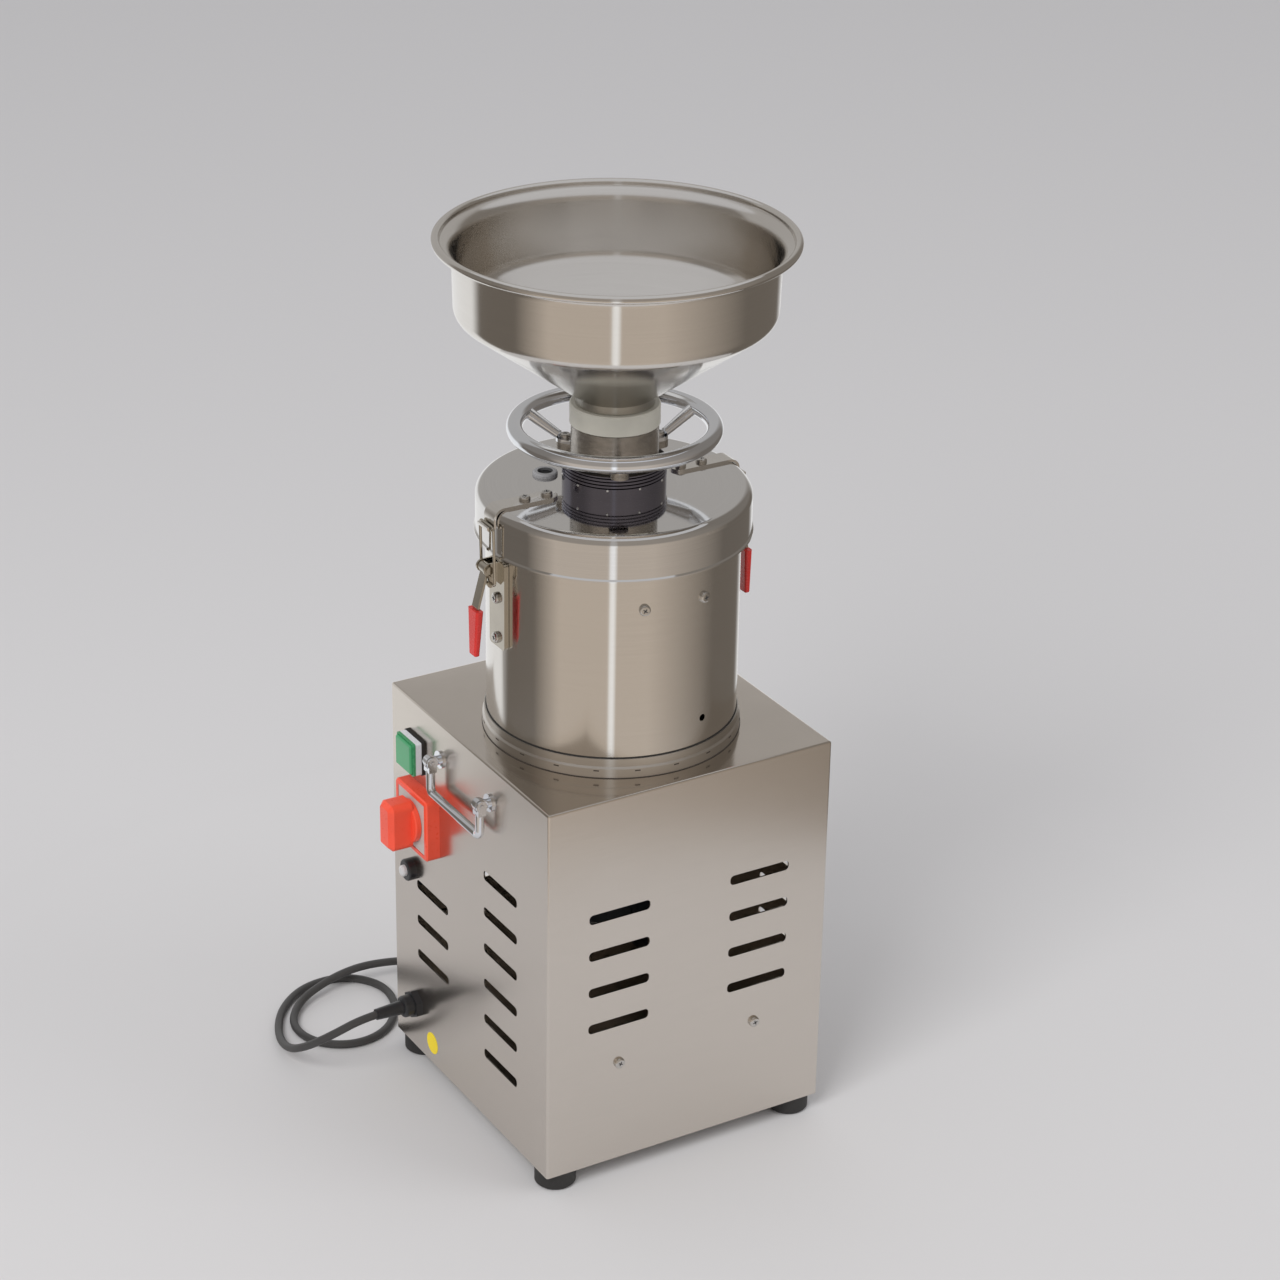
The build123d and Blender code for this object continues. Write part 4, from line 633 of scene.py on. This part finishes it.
def sticker():
    """A plain round yellow sticker low on the control panel."""
    count = 48
    radius = 0.0097
    thickness = 0.00015
    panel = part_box("housing_cover")[0].x
    middle_y, middle_z = 0.0790, 0.0350
    angles = [2 * math.pi * k / count for k in range(count)]
    points = [(x, middle_y + radius * math.cos(a), middle_z + radius * math.sin(a))
              for x in (panel, panel - thickness) for a in angles]
    faces = [tuple(range(count)), tuple(reversed(range(count, 2 * count)))]
    faces += [(k, count + k, count + (k + 1) % count, (k + 1) % count) for k in range(count)]
    mesh = bpy.data.meshes.new("yellow_sticker")
    mesh.from_pydata(points, [], faces)
    mesh.validate()
    add_piece("yellow_sticker", mesh, [yellow_paper], "base", "label_grey")


shadow_gap_lines()
neck_dots()
ring_marks()
sticker()

# ---------------------------------------------------------------- screw recesses in painted shade
recess_length = 0.0040
recess_width = 0.0009
recess_rise = 0.0001
# Where the CAD model's screw heads are; the turns of their recesses differ from screw to screw.
head_rise = 0.0030
cover_screw_spread = 0.064
cover_screw_height = 0.107
barrel_screw_angles = (-106.4, -76.2)
barrel_screw_height = 0.492
bracket_face = 0.1045
bracket_screw_heights = (0.446, 0.480)
strap_screw_radii = (0.0605, 0.0799)
spoke_screw_radius = 0.0425
spoke_screw_first = 5         # degrees from +X


def cross_mark(shape, place, outward, turn):
    """A screw's cross recess, drawn as two thin bars of painted shade on the head, turned by some
    degrees.
    """
    side = outward.orthogonal().normalized()
    side.rotate(Matrix.Rotation(math.radians(turn), 3, outward))
    up = outward.cross(side)
    for along, across in ((side, up), (up, side)):
        bar(shape, place, recess_length / 2 * along, recess_width / 2 * across,
            recess_rise * outward)


def screw_marks(name, body, marks):
    """One piece with a recess in painted shade for each (place, outward direction, turn)."""
    shape = bmesh.new()
    for place, outward, turn in marks:
        cross_mark(shape, Vector(place), Vector(outward), turn)
    bmesh.ops.recalc_face_normals(shape, faces=shape.faces)
    add_piece(name, mesh_of(name, shape), [painted_recess_shade], body, "fastener_steel")


def body_screw_marks():
    low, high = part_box("housing_cover")
    middle = (low.x + high.x) / 2
    marks = []
    for side, turn in zip((-1, 1), (20, 65)):
        x = middle + side * cover_screw_spread
        marks.append(((x, low.y - head_rise, cover_screw_height), (0, -1, 0), turn))
        marks.append(((x, high.y + head_rise, cover_screw_height), (0, 1, 0), turn + 30))
    for angle, turn in zip(barrel_screw_angles, (10, 50)):
        out = direction(angle)
        place = out * (barrel_radius + head_rise) + Vector((0, 0, barrel_screw_height))
        marks.append((place, out, turn))
    for side in (-1, 1):
        for z in bracket_screw_heights:
            marks.append(((side * (bracket_face + head_rise), 0, z), (side, 0, 0), 25 + 400 * z))
    screw_marks("body_screw_marks", "base", marks)


def lid_screw_marks():
    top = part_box("strap_screws")[1].z
    marks = [((side * radius, 0, top), (0, 0, 1), 30 * side + 900 * radius)
             for side in (-1, 1) for radius in strap_screw_radii]
    screw_marks("lid_screw_marks", "lid_assembly", marks)


def wheel_screw_marks():
    top = Vector((0, 0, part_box("spoke_screws")[1].z))
    marks = [(top + spoke_screw_radius * direction(spoke_screw_first + 120 * k), (0, 0, 1), 35 * k)
             for k in range(3)]
    screw_marks("wheel_screw_marks", "handwheel", marks)


body_screw_marks()
lid_screw_marks()
wheel_screw_marks()

# ---------------------------------------------------------------- mains cord
cord_diameter = 0.007
cord_floor = cord_diameter / 2 + 0.0001
cord_cross = cord_floor + 2 * cord_diameter
cord_exit = (-0.1534, 0.1070, 0.0600)
cord_route = [
    cord_exit,
    (-0.1765, 0.1070, 0.0600),
    (-0.2030, 0.1130, 0.0480),
    (-0.2190, 0.1340, 0.0290),
    (-0.2220, 0.1640, 0.0120),
    (-0.2140, 0.2010, cord_floor),
    (-0.1950, 0.2360, cord_floor),
    (-0.1620, 0.2620, cord_floor),
    (-0.1210, 0.2620, cord_floor),
    (-0.0960, 0.2310, cord_floor),
    (-0.1020, 0.1910, cord_floor),
    (-0.1290, 0.1590, cord_floor),
    (-0.1630, 0.1530, cord_floor),
    (-0.1920, 0.1730, cord_floor),
    (-0.1980, 0.2080, cord_floor),
    (-0.1770, 0.2370, cord_floor + 0.003),
    (-0.1430, 0.2480, cord_floor + 0.009),
    (-0.1150, 0.2480, cord_cross),
    (-0.0880, 0.2440, cord_cross),
    (-0.0560, 0.2470, cord_floor + 0.005),
    (-0.0280, 0.2495, cord_floor + 0.002),
]
coil_centre = Vector((0.004, 0.206))
coil_outer = 0.0420
coil_inner = 0.0350
coil_turns = 4
coil_points = 16              # to a turn
coil_climb = (1.85, 2.15)     # the turns between which it climbs onto itself
cord_lead = [
    (0.0100, 0.2495, cord_floor + cord_diameter),
    (0.0380, 0.2460, cord_floor + cord_diameter + 0.001),
    (0.0670, 0.2440, 0.0180),
    (0.0870, 0.2440, 0.0180),
]


def coil_route():
    """Four turns from the coil's far side: two inward on the table, then two outward on them."""
    points = []
    for k in range(coil_turns * coil_points):
        share = k / coil_points
        angle = math.pi / 2 - 2 * math.pi * share
        inward = min(share, coil_turns - share) / (coil_turns / 2)
        radius = coil_outer + (coil_inner - coil_outer) * inward
        climb = (share - coil_climb[0]) / (coil_climb[1] - coil_climb[0])
        points.append((coil_centre.x + radius * math.cos(angle),
                       coil_centre.y + radius * math.sin(angle),
                       cord_floor + min(1.0, max(0.0, climb)) * cord_diameter))
    return points


def cord_curve():
    """The cord as one round tube along its route, its coil and its lead to the plug."""
    points = cord_route + coil_route() + cord_lead
    data = bpy.data.curves.new("mains_cord", "CURVE")
    data.dimensions = "3D"
    data.bevel_depth = cord_diameter / 2
    data.bevel_resolution = 5
    data.resolution_u = 10
    data.use_fill_caps = True
    line = data.splines.new("NURBS")
    line.points.add(len(points) - 1)
    for point, place in zip(line.points, points):
        point.co = (*place, 1)
    line.order_u = 3
    line.use_endpoint_u = True
    cord = bpy.data.objects.new("mains_cord", data)
    scene.collection.objects.link(cord)
    cord.data.materials.append(materials["cord_rubber"])
    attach(cord, "base")
    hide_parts("power_cord", "cord_coil")


cord_curve()


# ---------------------------------------------------------------- floor and light
floor_colour = (0.66, 0.65, 0.65)
floor_reach = 12.0
room_colour = (0.80, 0.80, 0.82)
room_strength = 0.75
lamp_aim = Vector((0, 0, 0.4))

# The studio that the polished steel mirrors, seen only in reflections: a ring with a pale backdrop,
# a dark flag at each side of it, a warm wall opposite with one strip light in it, and a dim room
# above.
card_radius = 0.64
card_foot = 0.01
card_top = 1.30
card_count = 128
card_fade = (0.50, 0.62)      # the heights between which the ring fades into the room
card_fade_share = 0.7         # how much of the room's tone it takes
backdrop = (0.88, 0.88, 0.88)
flag = (0.16, 0.14, 0.12)
wall = (0.56, 0.49, 0.42)
strip = (1.0, 1.0, 1.0)
dim_room = (0.24, 0.22, 0.20)
# Directions in degrees from +X; a colour runs on softly to the next one.
studio = [
    (0, flag), (22, flag), (38, backdrop), (127, backdrop), (136, flag), (170, flag), (195, wall),
    (236, wall), (238, strip), (241, strip), (243, wall), (270, wall), (335, flag), (360, flag),
]


def add_floor():
    mesh = bpy.data.meshes.new("floor")
    near, far = -floor_reach, floor_reach
    corners = [(near, near, 0), (far, near, 0), (far, far, 0), (near, far, 0)]
    mesh.from_pydata(corners, [], [(0, 1, 2, 3)])
    floor = bpy.data.objects.new("floor", mesh)
    scene.collection.objects.link(floor)
    floor.data.materials.append(new_material("floor_cloth", floor_colour, 0.9)[0])


def card_colour(made):
    """The cards' colour from the direction and the height."""
    parts = place_parts(made)
    turn = add_node(made, "ShaderNodeMath", operation="ARCTAN2")
    join(made, parts.outputs["Y"], turn.inputs[0])
    join(made, parts.outputs["X"], turn.inputs[1])
    whole = add_node(made, "ShaderNodeMath", operation="FRACT")
    join(made, spread(made, turn.outputs["Value"], -0.5, 0.5, -math.pi, math.pi), whole.inputs[0])
    stops = [(degrees / 360, colour) for degrees, colour in studio]
    ring = ramp(made, whole.outputs["Value"], stops)
    mixed = add_node(made, "ShaderNodeMix", data_type="RGBA")
    fade = spread(made, parts.outputs["Z"], 0, card_fade_share, *card_fade)
    join(made, fade, mixed.inputs["Factor"])
    join(made, ring, mixed.inputs["A"])
    mixed.inputs["B"].default_value = (*dim_room, 1)
    return mixed.outputs["Result"]


def add_cards():
    made = bpy.data.materials.new("reflection_cards")
    made.use_nodes = True
    tree = made.node_tree
    tree.nodes.remove(tree.nodes["Principled BSDF"])
    glow = add_node(made, "ShaderNodeEmission")
    join(made, card_colour(made), glow.inputs["Color"])
    join(made, glow.outputs["Emission"], tree.nodes["Material Output"].inputs["Surface"])
    angles = [2 * math.pi * k / card_count for k in range(card_count)]
    corners = [(card_radius * math.cos(a), card_radius * math.sin(a), z)
               for a in angles for z in (card_foot, card_top)]
    faces = []
    for k in range(card_count):
        here, there = 2 * k, 2 * ((k + 1) % card_count)
        faces.append((here, there, there + 1, here + 1))
    mesh = bpy.data.meshes.new("reflection_cards")
    mesh.from_pydata(corners, [], faces)
    mesh.materials.append(made)
    cards = bpy.data.objects.new("reflection_cards", mesh)
    scene.collection.objects.link(cards)
    cards.visible_camera = False
    cards.visible_diffuse = False
    cards.visible_shadow = False
    cards.visible_transmission = False
    cards.visible_volume_scatter = False


def add_lamp(name, place, size, power):
    """A soft square lamp aimed at the middle of the machine."""
    data = bpy.data.lights.new(name, "AREA")
    data.size = size
    data.energy = power
    lamp = bpy.data.objects.new(name, data)
    lamp.location = place
    lamp.rotation_euler = (lamp_aim - Vector(place)).to_track_quat("-Z", "Y").to_euler()
    lamp.visible_glossy = False
    scene.collection.objects.link(lamp)


def add_world():
    world = bpy.data.worlds.new("room")
    scene.world = world
    world.use_nodes = True
    back = world.node_tree.nodes["Background"]
    back.inputs["Color"].default_value = (*room_colour, 1)
    back.inputs["Strength"].default_value = room_strength


add_floor()
add_cards()
add_world()
add_lamp("key", (-3.4, -1.9, 4.0), size=2.5, power=145)
add_lamp("fill", (3.0, -3.0, 2.7), size=2.7, power=40)
scene.view_settings.view_transform = "Standard"
